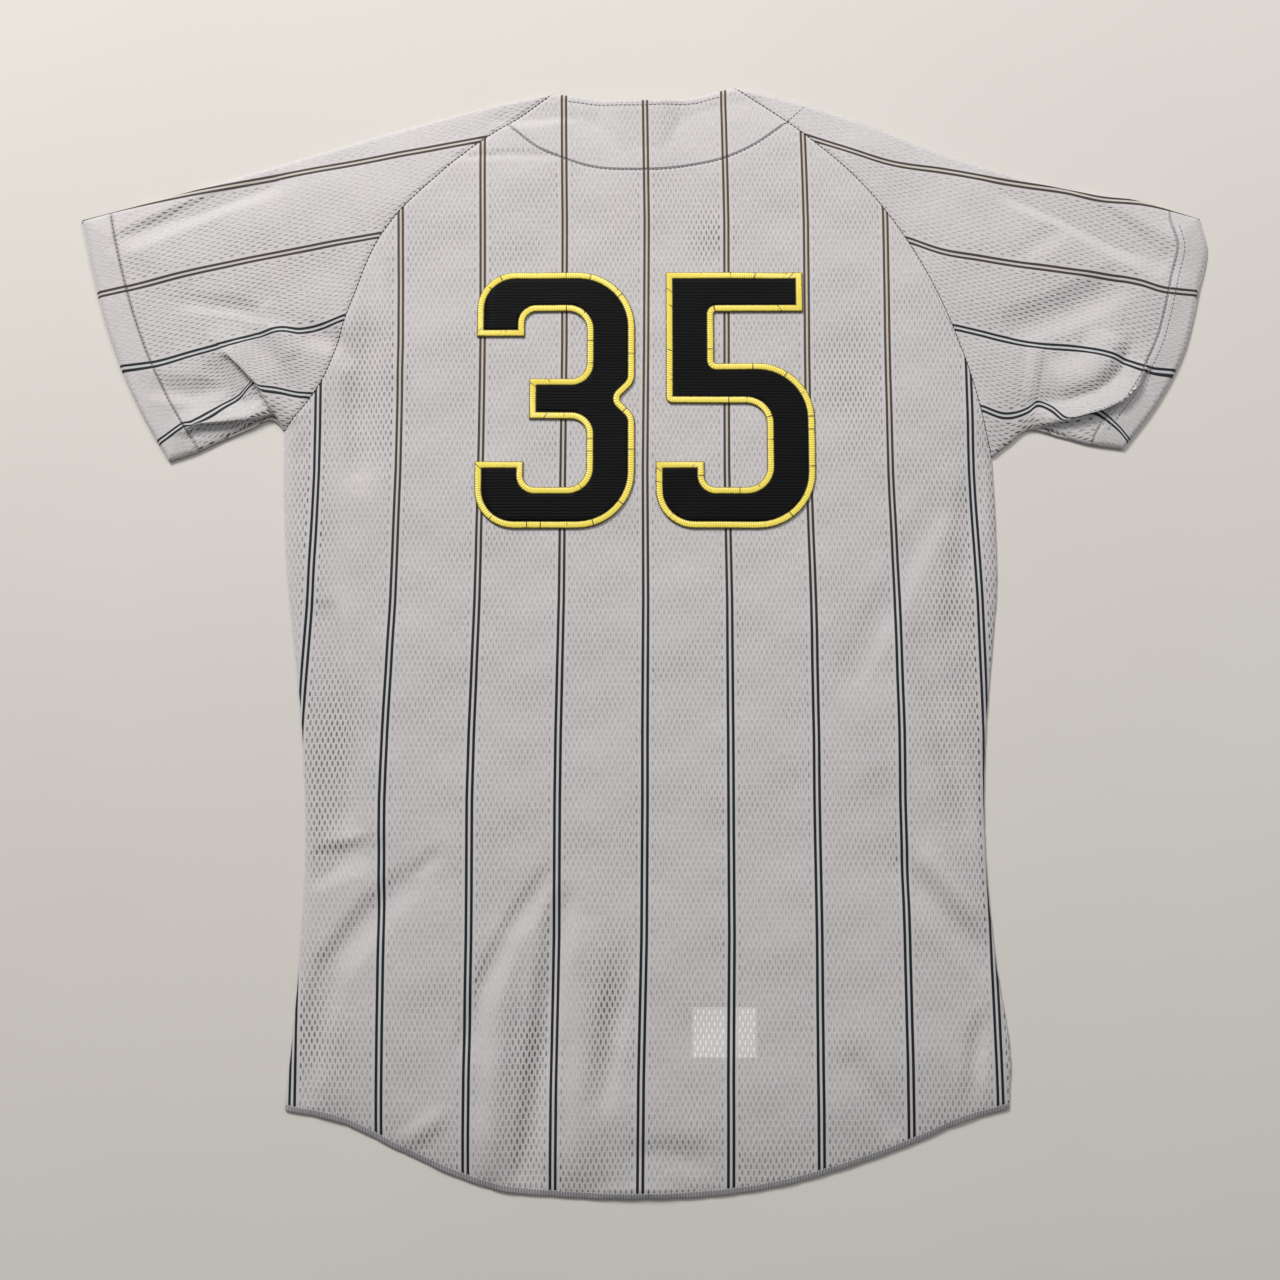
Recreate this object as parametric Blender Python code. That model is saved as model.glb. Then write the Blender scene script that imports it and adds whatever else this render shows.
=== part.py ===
"""Baseball jersey, laid flat with its back up: raglan sleeves, shirt-tail hem and sewn-on numerals.

Lengths are in millimetres up to the point where a mesh is made, which is in metres. +X runs to the
right sleeve as seen from above, +Y to the collar and +Z up. The cloth lies on the plane z = 0. Every
panel is a wall over a grid between its four edges. The upper layer (back and tops of the sleeves)
takes its height from one function, so that the panels meet level at their seams.
"""
import math

import bmesh
import bpy
import numpy as np
from mathutils import Vector
from mathutils.bvhtree import BVHTree

MM = 0.001

# Cloth and layers
WALL = 1.3
SEAM_GAP = 0.3
LAYER_GAP = 0.3
EDGE_TOP = 3.2
CROWN_TOP = 8.2
CROWN_RUN = 100.0
NECK_LIFT = 2.4
EDGE_INSET = 1.5

# Origin of the part's frame on the drawing below, at the middle of the garment's outline
ORIGIN_X = 2.0
ORIGIN_Y = 21.6

# Grid counts
SIDE_ROWS = 16
BACK_COLUMNS = 26
FRONT_COLUMNS = 7
SLEEVE_COLUMNS = 14
SEAM_STEPS = 13
EDGE_STEP = 0.012

# Closure down the front, which lies underneath
PLACKET_HALF = 14.0
PLACKET_RAMP = 22.0
CLOSURE_COLUMNS = (36.0, 29.0, 21.0, 14.0, 0.0, -14.0)
BACK_RAMP = 34.0
BACK_GAP = 0.7
BUTTONS_END_Y = -290.0
BUTTONS_FADE = 60.0
BUTTON_RADIUS = 9.0
BUTTON_THICK = 2.5
BUTTON_COUNT = 6
BUTTON_TOP_Y = 312.0
BUTTON_PITCH = 105.0
BUTTON_SIDES = 18
FRONT_TAIL_SHORT = 8.0

# Back neck facing, tail label and numerals
FACING_WALL = 1.1
FACING_GAP = 0.8
FACING_COLUMNS = 18
FACING_ROWS = 4
LABEL_LEFT = 38.0
LABEL_TOP = -269.0
LABEL_WIDTH = 46.0
LABEL_HEIGHT = 35.0
LABEL_WALL = 0.9
NUMERAL_HEIGHT = 203.0
NUMERAL_WIDTH = 122.0
NUMERAL_STROKE_X = 37.0
NUMERAL_STROKE_Y = 32.0
NUMERAL_BOTTOM_Y = 84.0
NUMERAL_LEFT_X = -126.0
NUMERAL_RIGHT_X = 12.0
TWILL_THICK = 1.2
EDGING_WIDTH = 5.5
EDGING_THICK = 1.8
ARC_STEP_DEGREES = 22.5

# Outlines on the drawing, x and y. Each runs along the edge it is named for.
NECK_EDGE = [(-69, 439), (-53, 437), (-33, 434), (-5, 433), (20, 434), (45, 436), (62, 441), (75, 444)]
FACING_EDGE = [(-101, 408), (-79, 390), (-63, 383), (-39, 375), (-5, 372), (36, 375), (67, 382),
               (93, 395), (113, 410)]
HEM_EDGE = [(-256, -342), (-216, -350), (-172, -370), (-130, -388), (-100, -397), (-60, -401), (0, -403),
            (60, -400), (105, -393), (143, -383), (201, -363), (235, -349), (266, -341)]

# Side and sleeve edges, one column for each side of the garment
SIDES = {
    "left": {
        "seam": [(-69, 439), (-88, 424), (-124, 399), (-159, 369), (-203, 318), (-225, 262),
                 (-246, 200), (-274, 162)],
        "front_seam": [(-71, 405), (-110, 377), (-160, 332), (-200, 280), (-235, 222), (-274, 162)],
        "side": [(-274, 162), (-272, 108), (-267, 45), (-261, 0), (-252, -76), (-247, -142), (-249, -236),
                 (-256, -342)],
        "shoulder": [(-69, 439), (-117, 429), (-191, 408), (-285, 379), (-379, 350), (-440, 333)],
        "underarm": [(-274, 162), (-283, 171), (-300, 164), (-323, 154), (-342, 145), (-362, 138)],
        "cuff": [(-440, 333), (-430, 293), (-415, 243), (-402, 210), (-384, 174), (-362, 138)],
        "front_neck": [(-69, 439), (-72, 422), (-71, 405)],
        "neckline": [(-71, 405), (-63, 378), (-44, 354), (-16, 341), (14, 339)],
    },
    "right": {
        "seam": [(75, 444), (96, 429), (128, 405), (174, 362), (209, 314), (234, 265), (256, 203),
                 (270, 141)],
        "front_seam": [(75, 408), (112, 380), (163, 333), (204, 280), (238, 218), (270, 141)],
        "side": [(270, 141), (271, 92), (270, 38), (266, 0), (258, -76), (255, -149), (260, -236),
                 (268, -307), (266, -341)],
        "shoulder": [(75, 444), (120, 433), (175, 415), (246, 386), (336, 359), (394, 349), (441, 334)],
        "underarm": [(270, 141), (284, 152), (299, 163), (323, 158), (345, 152), (372, 148)],
        "cuff": [(441, 334), (445, 311), (437, 275), (421, 221), (400, 184), (372, 148)],
        "front_neck": [(75, 444), (77, 426), (75, 408)],
        "neckline": [(75, 408), (66, 380), (46, 355), (18, 341), (-14, 339)],
    },
}

# Folds of the upper layer: ends x and y, half width, height (a ridge is positive, a trough negative)
# Where folds meet, the highest ridge and the deepest trough hold.
FOLDS = [
    # Hanging folds in the tail
    (-94, -205, -84, -398, 17, -2.8),
    (-116, -215, -108, -395, 19, 2.6),
    (-120, -279, -66, -171, 16, -1.8),
    (-246, -338, -190, -196, 22, -2.6),
    (-190, -196, -150, -162, 18, -2.0),
    (-230, -150, -204, -142, 16, -2.2),
    (-174, -368, -142, -348, 15, 1.8),
    (0, -374, 46, -374, 18, -1.8),
    (-36, -330, -12, -250, 18, 1.5),
    (152, -300, 184, -352, 18, -2.0),
    (190, -168, 250, -238, 22, -2.4),
    (214, -190, 255, -210, 16, 1.8),
    (243, -280, 240, -326, 15, -1.8),
    # Waist and chest
    (226, 100, 168, -8, 24, -2.2),
    (136, 4, 173, -95, 20, 1.8),
    (212, -5, 240, -130, 18, -2.2),
    (-244, 60, -222, -150, 20, -2.0),
    (-217, 235, -214, 128, 20, -2.4),
    (-202, 282, -188, 205, 18, 1.6),
    # Left sleeve
    (-322, 226, -299, 201, 15, 4.2),
    (-299, 201, -282, 172, 14, 4.6),
    (-322, 204, -303, 180, 13, -3.0),
    (-345, 176, -288, 183, 14, 3.4),
    (-290, 254, -270, 224, 15, 2.4),
    (-252, 238, -212, 212, 16, -2.4),
    (-412, 318, -330, 354, 18, -2.0),
    (-374, 196, -320, 196, 15, -2.2),
    # Right sleeve
    (296, 356, 414, 294, 20, -2.6),
    (292, 244, 370, 276, 24, -3.0),
    (298, 300, 332, 326, 17, -1.8),
    (300, 188, 314, 232, 17, 3.2),
    (300, 176, 372, 190, 15, 4.4),
    (346, 196, 384, 216, 16, -2.6),
]

MATERIALS = {
    "mesh_cloth": ((0.53, 0.50, 0.52, 1.0), 0.72),
    "facing_cloth": ((0.56, 0.53, 0.55, 1.0), 0.75),
    "black_twill": ((0.009, 0.009, 0.012, 1.0), 0.62),
    "yellow_thread": ((0.90, 0.72, 0.06, 1.0), 0.45),
    "label_cloth": ((0.80, 0.79, 0.79, 1.0), 0.70),
    "grey_button": ((0.36, 0.35, 0.37, 1.0), 0.35),
}


def clear_scene():
    """Removes what the file holds."""
    for thing in list(bpy.data.objects):
        bpy.data.objects.remove(thing, do_unlink=True)


def make_material(name):
    """One Principled material from the table above."""
    colour, roughness = MATERIALS[name]
    material = bpy.data.materials.new(name)
    material.use_nodes = True
    shader = material.node_tree.nodes["Principled BSDF"]
    shader.inputs["Base Color"].default_value = colour
    shader.inputs["Roughness"].default_value = roughness
    shader.inputs["Metallic"].default_value = 0.0
    material.diffuse_color = colour
    return material


def curve_through(points, stations):
    """Points of a Catmull-Rom curve through a table, at shares (0 to 1) of its chord length."""
    table = np.array(points, dtype=float)
    chords = np.linalg.norm(np.diff(table, axis=0), axis=1)
    at = np.concatenate([[0.0], np.cumsum(chords)])
    slopes = np.gradient(table, at, axis=0)
    wanted = np.asarray(stations, dtype=float) * at[-1]
    index = np.clip(np.searchsorted(at, wanted, side="right") - 1, 0, len(table) - 2)
    run = at[index + 1] - at[index]
    t = ((wanted - at[index]) / run)[:, None]
    run = run[:, None]
    start, end = table[index], table[index + 1]
    return (start * (2 * t**3 - 3 * t**2 + 1) + slopes[index] * run * (t**3 - 2 * t**2 + t)
            + end * (3 * t**2 - 2 * t**3) + slopes[index + 1] * run * (t**3 - t**2))


def shifted(points, distance):
    """A line moved to its left by a distance, seen along its direction."""
    along = np.gradient(points, axis=0)
    along /= np.linalg.norm(along, axis=1)[:, None]
    return points + distance * np.stack([-along[:, 1], along[:, 0]], axis=1)


def patch(bottom, top, left, right):
    """Grid between four edges: rows follow left and right, columns follow bottom and top."""
    rows, columns = len(left), len(bottom)
    v = np.linspace(0, 1, rows)[:, None, None]
    u = np.linspace(0, 1, columns)[None, :, None]
    across = (1 - u) * left[:, None] + u * right[:, None]
    low_bow = bottom - ((1 - u[0]) * bottom[0] + u[0] * bottom[-1])
    high_bow = top - ((1 - u[0]) * top[0] + u[0] * top[-1])
    return across + (1 - v)**2 * low_bow[None] + v**3 * high_bow[None]


def seam_stations():
    """Shares of the seam's length, with a short first and last step beside the sleeve's folded edges."""
    inner = np.linspace(EDGE_STEP, 1 - EDGE_STEP, SEAM_STEPS)
    return np.concatenate([[0.0], inner, [1.0]])


def outline():
    """The garment's closed outline, for the distance of a point from the nearest edge."""
    fine = np.linspace(0, 1, 25)
    left, right = SIDES["left"], SIDES["right"]
    runs = [curve_through(NECK_EDGE, fine), curve_through(right["shoulder"], fine),
            curve_through(right["cuff"], fine), curve_through(right["underarm"], fine)[::-1],
            curve_through(right["side"], fine), curve_through(HEM_EDGE, fine)[::-1],
            curve_through(left["side"], fine)[::-1], curve_through(left["underarm"], fine),
            curve_through(left["cuff"], fine)[::-1], curve_through(left["shoulder"], fine)[::-1]]
    return np.concatenate(runs)


def distance_to_line(x, y, start, end):
    """Distance of points from a straight run."""
    dx, dy = end[0] - start[0], end[1] - start[1]
    length = dx * dx + dy * dy
    if length < 1e-9:
        return np.hypot(x - start[0], y - start[1])
    share = np.clip(((x - start[0]) * dx + (y - start[1]) * dy) / length, 0, 1)
    return np.hypot(x - start[0] - share * dx, y - start[1] - share * dy)


OUTLINE = outline()


def edge_distance(x, y):
    """Distance of points from the garment's outline."""
    nearest = np.full(np.shape(x), 1e6)
    for start, end in zip(OUTLINE, np.roll(OUTLINE, -1, axis=0)):
        nearest = np.minimum(nearest, distance_to_line(x, y, start, end))
    return nearest


def top_height(x, y):
    """Height of the upper layer's outer face: a crown that falls to the edges, and the folds."""
    share = np.clip(edge_distance(x, y) / CROWN_RUN, 0, 1)
    height = EDGE_TOP + (CROWN_TOP - EDGE_TOP) * (1 - (1 - share)**3)
    ridge, trough = np.zeros(np.shape(x)), np.zeros(np.shape(x))
    for x0, y0, x1, y1, width, rise in FOLDS:
        t = np.clip(distance_to_line(x, y, (x0, y0), (x1, y1)) / width, 0, 1)
        fold = rise * (1 - t * t)**2 * np.clip(share * 6, 0, 1)
        ridge, trough = np.maximum(ridge, fold), np.minimum(trough, fold)
    height = height + ridge + trough
    neck = np.clip(1 - np.hypot(x / 150.0, (y - 430.0) / 90.0), 0, 1)
    lowest = EDGE_TOP + NECK_LIFT * (3 * neck**2 - 2 * neck**3)
    closure = front_under("right", x, y, BACK_RAMP) + 2 * WALL + BACK_GAP
    return np.maximum(np.maximum(height, lowest), closure)


def front_under(side, x, y, ramp):
    """Height of a front's underside. Beside the closure it climbs over the buttons, which end above
    the tail, and the right front lies on the left one."""
    t = np.clip((PLACKET_HALF + ramp - np.abs(x)) / ramp, 0, 1)
    above_tail = np.clip((y - BUTTONS_END_Y) / BUTTONS_FADE, 0, 1)
    lift = (BUTTON_THICK + LAYER_GAP) * (3 * above_tail**2 - 2 * above_tail**3)
    if side == "right":
        lift = lift + WALL + LAYER_GAP
    return lift * (3 * t**2 - 2 * t**3)


def new_object(name, mesh_data, material, collection):
    """Turns a bmesh in millimetres on the drawing into an object in the part's frame."""
    for vertex in mesh_data.verts:
        vertex.co.x = (vertex.co.x - ORIGIN_X) * MM
        vertex.co.y = (vertex.co.y - ORIGIN_Y) * MM
        vertex.co.z = vertex.co.z * MM
    bmesh.ops.recalc_face_normals(mesh_data, faces=mesh_data.faces)
    mesh = bpy.data.meshes.new(name)
    mesh_data.to_mesh(mesh)
    mesh_data.free()
    mesh.materials.append(material)
    mesh.shade_smooth()
    mesh.set_sharp_from_angle(angle=math.radians(35))
    thing = bpy.data.objects.new(name, mesh)
    collection.objects.link(thing)
    return thing


def grid_faces(mesh_data, rows):
    """Quads between neighbouring rows of vertices."""
    for low, high in zip(rows, rows[1:]):
        for i in range(len(low) - 1):
            mesh_data.faces.new((low[i], low[i + 1], high[i + 1], high[i]))


def rim_loop(rows):
    """The vertices round a grid, in order."""
    right = [row[-1] for row in rows[1:]]
    left = [row[0] for row in rows[-2:0:-1]]
    return list(rows[0]) + right + list(rows[-1][-2::-1]) + left


def wall(points, lower, upper):
    """A closed wall over a grid of plan points, between two grids of heights."""
    mesh_data = bmesh.new()
    layers = []
    for heights in (lower, upper):
        layers.append([[mesh_data.verts.new((p[0], p[1], z)) for p, z in zip(row, level)]
                       for row, level in zip(points, heights)])
        grid_faces(mesh_data, layers[-1])
    low_rim, high_rim = rim_loop(layers[0]), rim_loop(layers[1])
    for i, low in enumerate(low_rim):
        after = (i + 1) % len(low_rim)
        mesh_data.faces.new((low, low_rim[after], high_rim[after], high_rim[i]))
    return mesh_data


def side_line(side, seam_name, outward):
    """A panel's outer edge from the hem up the side seam and on along the raglan seam."""
    edges = SIDES[side]
    turn = -1 if side == "left" else 1
    below = curve_through(edges["side"], np.linspace(0, 1, SIDE_ROWS + 1))[::-1]
    if seam_name == "seam":
        seam = curve_through(edges["seam"], seam_stations())
    else:
        seam = front_sleeve_line(side)[2:]
    seam = shifted(seam, turn * outward)[::-1]
    return np.concatenate([below[:-1], seam])


def front_sleeve_line(side):
    """Where the sleeve's lower layer ends: a short stretch of neckline, then the front raglan seam."""
    edges = SIDES[side]
    stations = seam_stations()
    start = stations[2]
    neck = curve_through(edges["front_neck"], [0.0, 0.35])
    seam = curve_through(edges["front_seam"], (stations[2:] - start) / (1 - start))
    return np.concatenate([neck, seam])


def back_points():
    """Plan of the back panel."""
    across = np.linspace(0, 1, BACK_COLUMNS + 1)
    left = side_line("left", "seam", -SEAM_GAP / 2)
    right = side_line("right", "seam", -SEAM_GAP / 2)
    return patch(curve_through(HEM_EDGE, across), curve_through(NECK_EDGE, across), left, right)


def build_back(materials, collection):
    """The back panel, from hem to neck and between the raglan seams."""
    points = back_points()
    top = top_height(points[..., 0], points[..., 1])
    return new_object("back_panel", wall(points, top - WALL, top), materials["mesh_cloth"], collection)


def front_points(side):
    """Plan of a front: even columns up to the closure, then columns at its own places across."""
    outer = side_line(side, "front_seam", -SEAM_GAP / 2)
    turn = -1 if side == "left" else 1
    closure_x = turn * np.array(CLOSURE_COLUMNS)
    reach = closure_x[-1]
    x = np.array([np.concatenate([np.linspace(start, closure_x[0], FRONT_COLUMNS + 1)[:-1], closure_x])
                  for start in outer[:, 0]])
    fine = np.linspace(0, 1, 61)
    hem = curve_through(HEM_EDGE, fine)
    neckline = curve_through(SIDES[side]["neckline"], fine)[::-turn]
    tail = FRONT_TAIL_SHORT * (1 - ((x[0] - reach) / (x[0, 0] - reach))**2)
    hem_y = np.interp(x[0], hem[:, 0], hem[:, 1]) + tail
    neck_y = np.interp(x[-1], neckline[:, 0], neckline[:, 1])
    up = np.linspace(0, 1, len(outer))[:, None]
    closure_y = hem_y[-1] + (neck_y[-1] - hem_y[-1]) * up
    share = (x - outer[:, :1]) / (reach - outer[:, :1])
    hem_bow = hem_y - (outer[0, 1] + (hem_y[-1] - outer[0, 1]) * share[0])
    neck_bow = neck_y - (outer[-1, 1] + (neck_y[-1] - outer[-1, 1]) * share[-1])
    y = outer[:, 1:] * (1 - share) + closure_y * share + (1 - up)**2 * hem_bow + up**3 * neck_bow
    return np.stack([x, y], axis=-1)


def build_front(side, materials, collection):
    """A front panel, underneath: side seam, raglan seam, neckline and the closure's straight edge."""
    points = front_points(side)
    under = front_under(side, points[..., 0], points[..., 1], PLACKET_RAMP)
    return new_object("front_" + side, wall(points, under, under + WALL), materials["mesh_cloth"], collection)


def ring_rows(points, inset, heights, edge_height):
    """One layer's plan and heights, its two edge columns drawn in and set to the fold's own height."""
    plan = points.copy()
    for edge, inner in ((0, 2), (-1, -3)):
        inward = points[:, inner] - points[:, edge]
        inward /= np.linalg.norm(inward, axis=1)[:, None]
        plan[:, edge] = points[:, edge] + inset * inward
    levels = heights.copy()
    levels[:, 0] = edge_height
    levels[:, -1] = edge_height
    return plan, levels


def build_sleeve(side, materials, collection):
    """A raglan sleeve as a flattened tube, open at the seam and the cuff."""
    edges = SIDES[side]
    turn = 1 if side == "left" else -1
    stations = seam_stations()
    along = np.linspace(0, 1, SLEEVE_COLUMNS + 1)
    shoulder = curve_through(edges["shoulder"], along)
    underarm = curve_through(edges["underarm"], along)
    cuff = curve_through(edges["cuff"], stations)
    seam = shifted(curve_through(edges["seam"], stations), -turn * SEAM_GAP / 2)
    front = shifted(front_sleeve_line(side), -turn * SEAM_GAP / 2)
    front[0] = seam[0]
    front[-1] = seam[-1]
    shoulder[0] = seam[0]
    underarm[0] = seam[-1]
    upper = sleeve_patch(seam, cuff, shoulder, underarm)
    lower = sleeve_patch(front, cuff, shoulder, underarm)
    top = top_height(upper[..., 0], upper[..., 1])
    flat = np.zeros(lower.shape[:2])
    middle = EDGE_TOP / 2
    layers = []
    for inset, drop in ((0.0, 0.0), (EDGE_INSET, WALL)):
        over, over_z = ring_rows(upper, inset, top - drop, middle)
        under, under_z = ring_rows(lower, inset, flat + drop, middle)
        plan = np.concatenate([over, under[:, -2:0:-1]], axis=1)
        levels = np.concatenate([over_z, under_z[:, -2:0:-1]], axis=1)
        layers.append((plan, levels))
    return new_object("sleeve_" + side, tube(layers), materials["mesh_cloth"], collection)


def sleeve_patch(start, end, first, last):
    """Grid along a sleeve: rows run from the seam to the cuff, columns from shoulder to underarm."""
    s = np.linspace(0, 1, len(first))[:, None, None]
    v = seam_stations()[None, :, None]
    across = (1 - v) * first[:, None] + v * last[:, None]
    start_bow = start - ((1 - v[0]) * start[0] + v[0] * start[-1])
    end_bow = end - ((1 - v[0]) * end[0] + v[0] * end[-1])
    return across + (1 - s) * start_bow[None] + s * end_bow[None]


def tube(layers):
    """A closed wall between an outer and an inner set of rings, with a rim at each end."""
    mesh_data = bmesh.new()
    shells = []
    for plan, levels in layers:
        rings = [[mesh_data.verts.new((p[0], p[1], z)) for p, z in zip(row, level)]
                 for row, level in zip(plan, levels)]
        shells.append(rings)
        for ring, after in zip(rings, rings[1:]):
            for i in range(len(ring)):
                j = (i + 1) % len(ring)
                mesh_data.faces.new((ring[i], ring[j], after[j], after[i]))
    for end in (0, -1):
        outer, inner = shells[0][end], shells[1][end]
        for i in range(len(outer)):
            j = (i + 1) % len(outer)
            mesh_data.faces.new((outer[i], outer[j], inner[j], inner[i]))
    return mesh_data


def build_facing(back, materials, collection):
    """The half-moon facing inside the back neck, a wall just under the back panel's inner face."""
    across = np.linspace(0.0, 1.0, FACING_COLUMNS + 1)
    neck = curve_through(NECK_EDGE, 0.03 + 0.94 * across) - np.array([0.0, 2.5])
    edge = curve_through(FACING_EDGE, across)
    share = np.linspace(0, 1, FACING_ROWS + 1)[:, None, None]
    points = neck[None] * (1 - share) + edge[None] * share
    upper = height_on(back, points) - WALL - FACING_GAP
    return new_object("back_neck_facing", wall(points, upper - FACING_WALL, upper),
                      materials["facing_cloth"], collection)


def height_on(panel, points):
    """Height of a panel's upper face at plan points, read from its own flat facets."""
    tree = BVHTree.FromPolygons([v.co for v in panel.data.vertices], [f.vertices for f in panel.data.polygons])
    heights = np.zeros(points.shape[:2])
    for place in np.ndindex(heights.shape):
        x, y = points[place]
        above = Vector(((x - ORIGIN_X) * MM, (y - ORIGIN_Y) * MM, 1.0))
        heights[place] = tree.ray_cast(above, Vector((0.0, 0.0, -1.0)))[0].z / MM
    return heights


def build_label(materials, collection):
    """The label inside the tail, on the right front's inner face."""
    x = np.linspace(LABEL_LEFT, LABEL_LEFT + LABEL_WIDTH, 5)
    y = np.linspace(LABEL_TOP - LABEL_HEIGHT, LABEL_TOP, 4)
    points = np.stack(np.meshgrid(x, y), axis=-1)
    under = front_under("right", points[..., 0], points[..., 1], PLACKET_RAMP) + WALL + LAYER_GAP
    return new_object("tail_label", wall(points, under, under + LABEL_WALL), materials["label_cloth"], collection)


def build_button(index, materials, collection):
    """A turned button with a raised rim, face down on the ground under the closure."""
    dish = 0.5
    rim = BUTTON_RADIUS - 2.2
    profile = [(0.0, BUTTON_THICK), (BUTTON_RADIUS - 0.8, BUTTON_THICK), (BUTTON_RADIUS, BUTTON_THICK - 0.8),
               (BUTTON_RADIUS, 0.7), (BUTTON_RADIUS - 0.7, 0.0), (rim, 0.0), (rim - 1.0, dish), (0.0, dish)]
    mesh_data = bmesh.new()
    centre_y = BUTTON_TOP_Y - index * BUTTON_PITCH
    rings = []
    for radius, z in profile:
        if radius == 0.0:
            rings.append([mesh_data.verts.new((0.0, centre_y, z))])
            continue
        angles = [2 * math.pi * k / BUTTON_SIDES for k in range(BUTTON_SIDES)]
        rings.append([mesh_data.verts.new((radius * math.cos(a), centre_y + radius * math.sin(a), z))
                      for a in angles])
    for ring, after in zip(rings, rings[1:]):
        for k in range(BUTTON_SIDES):
            j = (k + 1) % BUTTON_SIDES
            if len(ring) == 1:
                mesh_data.faces.new((ring[0], after[k], after[j]))
            elif len(after) == 1:
                mesh_data.faces.new((ring[k], ring[j], after[0]))
            else:
                mesh_data.faces.new((ring[k], ring[j], after[j], after[k]))
    return new_object(f"button_{index + 1}", mesh_data, materials["grey_button"], collection)


def numeral_corners():
    """Corners of the two numerals, each x, y and corner radius, from the height, width and strokes."""
    w, h = NUMERAL_WIDTH, NUMERAL_HEIGHT
    a, b = NUMERAL_STROKE_X, NUMERAL_STROKE_Y
    tip = 52.0
    bar_low = 0.5 * (h - b)
    bar_high = bar_low + b
    bowl_top = 0.64 * h
    bowl_in = bowl_top - b
    waist = 13.0
    three = [(0, h, 30), (0, h - tip, 0), (a, h - tip, 0), (a, h - b, 9), (w - a, h - b, 15),
             (w - a, bar_high, 12), (a + 4, bar_high, 0), (a + 4, bar_low, 0), (w - a, bar_low, 12),
             (w - a, b, 15), (a, b, 9), (a, tip, 0), (0, tip, 0), (0, 0, 30), (w, 0, 44),
             (w, h / 2 - waist, 14), (w - waist, h / 2, 4), (w, h / 2 + waist, 14), (w, h, 44)]
    five = [(8, h, 0), (8, bowl_in, 5), (w - a, bowl_in, 16), (w - a, b, 16), (a, b, 9), (a, tip, 0),
            (0, tip, 0), (0, 0, 30), (w, 0, 44), (w, bowl_top, 44), (8 + a, bowl_top, 2),
            (8 + a, h - b, 2), (w - 8, h - b, 0), (w - 8, h, 0)]
    return three, five


def inset_outline(corners, distance):
    """Points of an anticlockwise outline moved inward by a distance, with its round corners as arcs."""
    outline_points = []
    count = len(corners)
    for i, (x, y, radius) in enumerate(corners):
        here = np.array([x, y], dtype=float)
        before = np.array(corners[i - 1][:2], dtype=float)
        after = np.array(corners[(i + 1) % count][:2], dtype=float)
        into = (here - before) / np.linalg.norm(here - before)
        out = (after - here) / np.linalg.norm(after - here)
        cross = into[0] * out[1] - into[1] * out[0]
        angle = math.atan2(cross, float(np.dot(into, out)))
        sign = 1.0 if angle > 0 else -1.0
        left_in = np.array([-into[1], into[0]])
        bent = max(radius - sign * distance, 0.0)
        mitre = (left_in + np.array([-out[1], out[0]])) / (1 + float(np.dot(into, out)))
        corner = here + distance * mitre
        cut = bent * math.tan(abs(angle) / 2)
        centre = corner - into * cut + sign * bent * left_in
        steps = max(1, round(math.degrees(abs(angle)) / ARC_STEP_DEGREES)) if radius > 0 else 0
        if steps == 0:
            outline_points.append(corner)
            continue
        first = -sign * left_in
        for k in range(steps + 1):
            turn = angle * k / steps
            arm = np.array([first[0] * math.cos(turn) - first[1] * math.sin(turn),
                            first[0] * math.sin(turn) + first[1] * math.cos(turn)])
            outline_points.append(centre + bent * arm)
    return np.array(outline_points)


def plateau():
    """Height of the back panel where the numerals lie, where it is level."""
    return CROWN_TOP


def build_edging(name, corners, offset, materials, collection):
    """The satin-stitched edging of a numeral: a raised strip all round it."""
    outer = inset_outline(corners, 0.0) + offset
    inner = inset_outline(corners, EDGING_WIDTH) + offset
    low = plateau() + LAYER_GAP
    high = low + EDGING_THICK
    mesh_data = bmesh.new()
    loops = [[mesh_data.verts.new((x, y, z)) for x, y in line]
             for line, z in ((outer, low), (outer, high), (inner, high), (inner, low))]
    for loop, after in zip(loops, loops[1:] + loops[:1]):
        for i in range(len(loop)):
            j = (i + 1) % len(loop)
            mesh_data.faces.new((loop[i], loop[j], after[j], after[i]))
    return new_object(name, mesh_data, materials["yellow_thread"], collection)


def build_twill(name, corners, offset, materials, collection):
    """The twill of a numeral: a flat piece inside its edging."""
    line = inset_outline(corners, EDGING_WIDTH + SEAM_GAP) + offset
    low = plateau() + LAYER_GAP
    mesh_data = bmesh.new()
    face = mesh_data.faces.new([mesh_data.verts.new((x, y, low)) for x, y in line])
    lifted = bmesh.ops.extrude_face_region(mesh_data, geom=[face])["geom"]
    for item in lifted:
        if isinstance(item, bmesh.types.BMVert):
            item.co.z += TWILL_THICK
    bmesh.ops.triangulate(mesh_data, faces=mesh_data.faces)
    return new_object(name, mesh_data, materials["black_twill"], collection)


def main():
    clear_scene()
    collection = bpy.data.collections.new("baseball_jersey")
    bpy.context.scene.collection.children.link(collection)
    materials = {name: make_material(name) for name in MATERIALS}
    back = build_back(materials, collection)
    for side in ("left", "right"):
        build_front(side, materials, collection)
        build_sleeve(side, materials, collection)
    build_facing(back, materials, collection)
    build_label(materials, collection)
    for index in range(BUTTON_COUNT):
        build_button(index, materials, collection)
    for side, corners, x in zip(("left", "right"), numeral_corners(), (NUMERAL_LEFT_X, NUMERAL_RIGHT_X)):
        offset = np.array([x, NUMERAL_BOTTOM_Y])
        build_edging(f"numeral_{side}_edging", corners, offset, materials, collection)
        build_twill(f"numeral_{side}_twill", corners, offset, materials, collection)


main()
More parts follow.
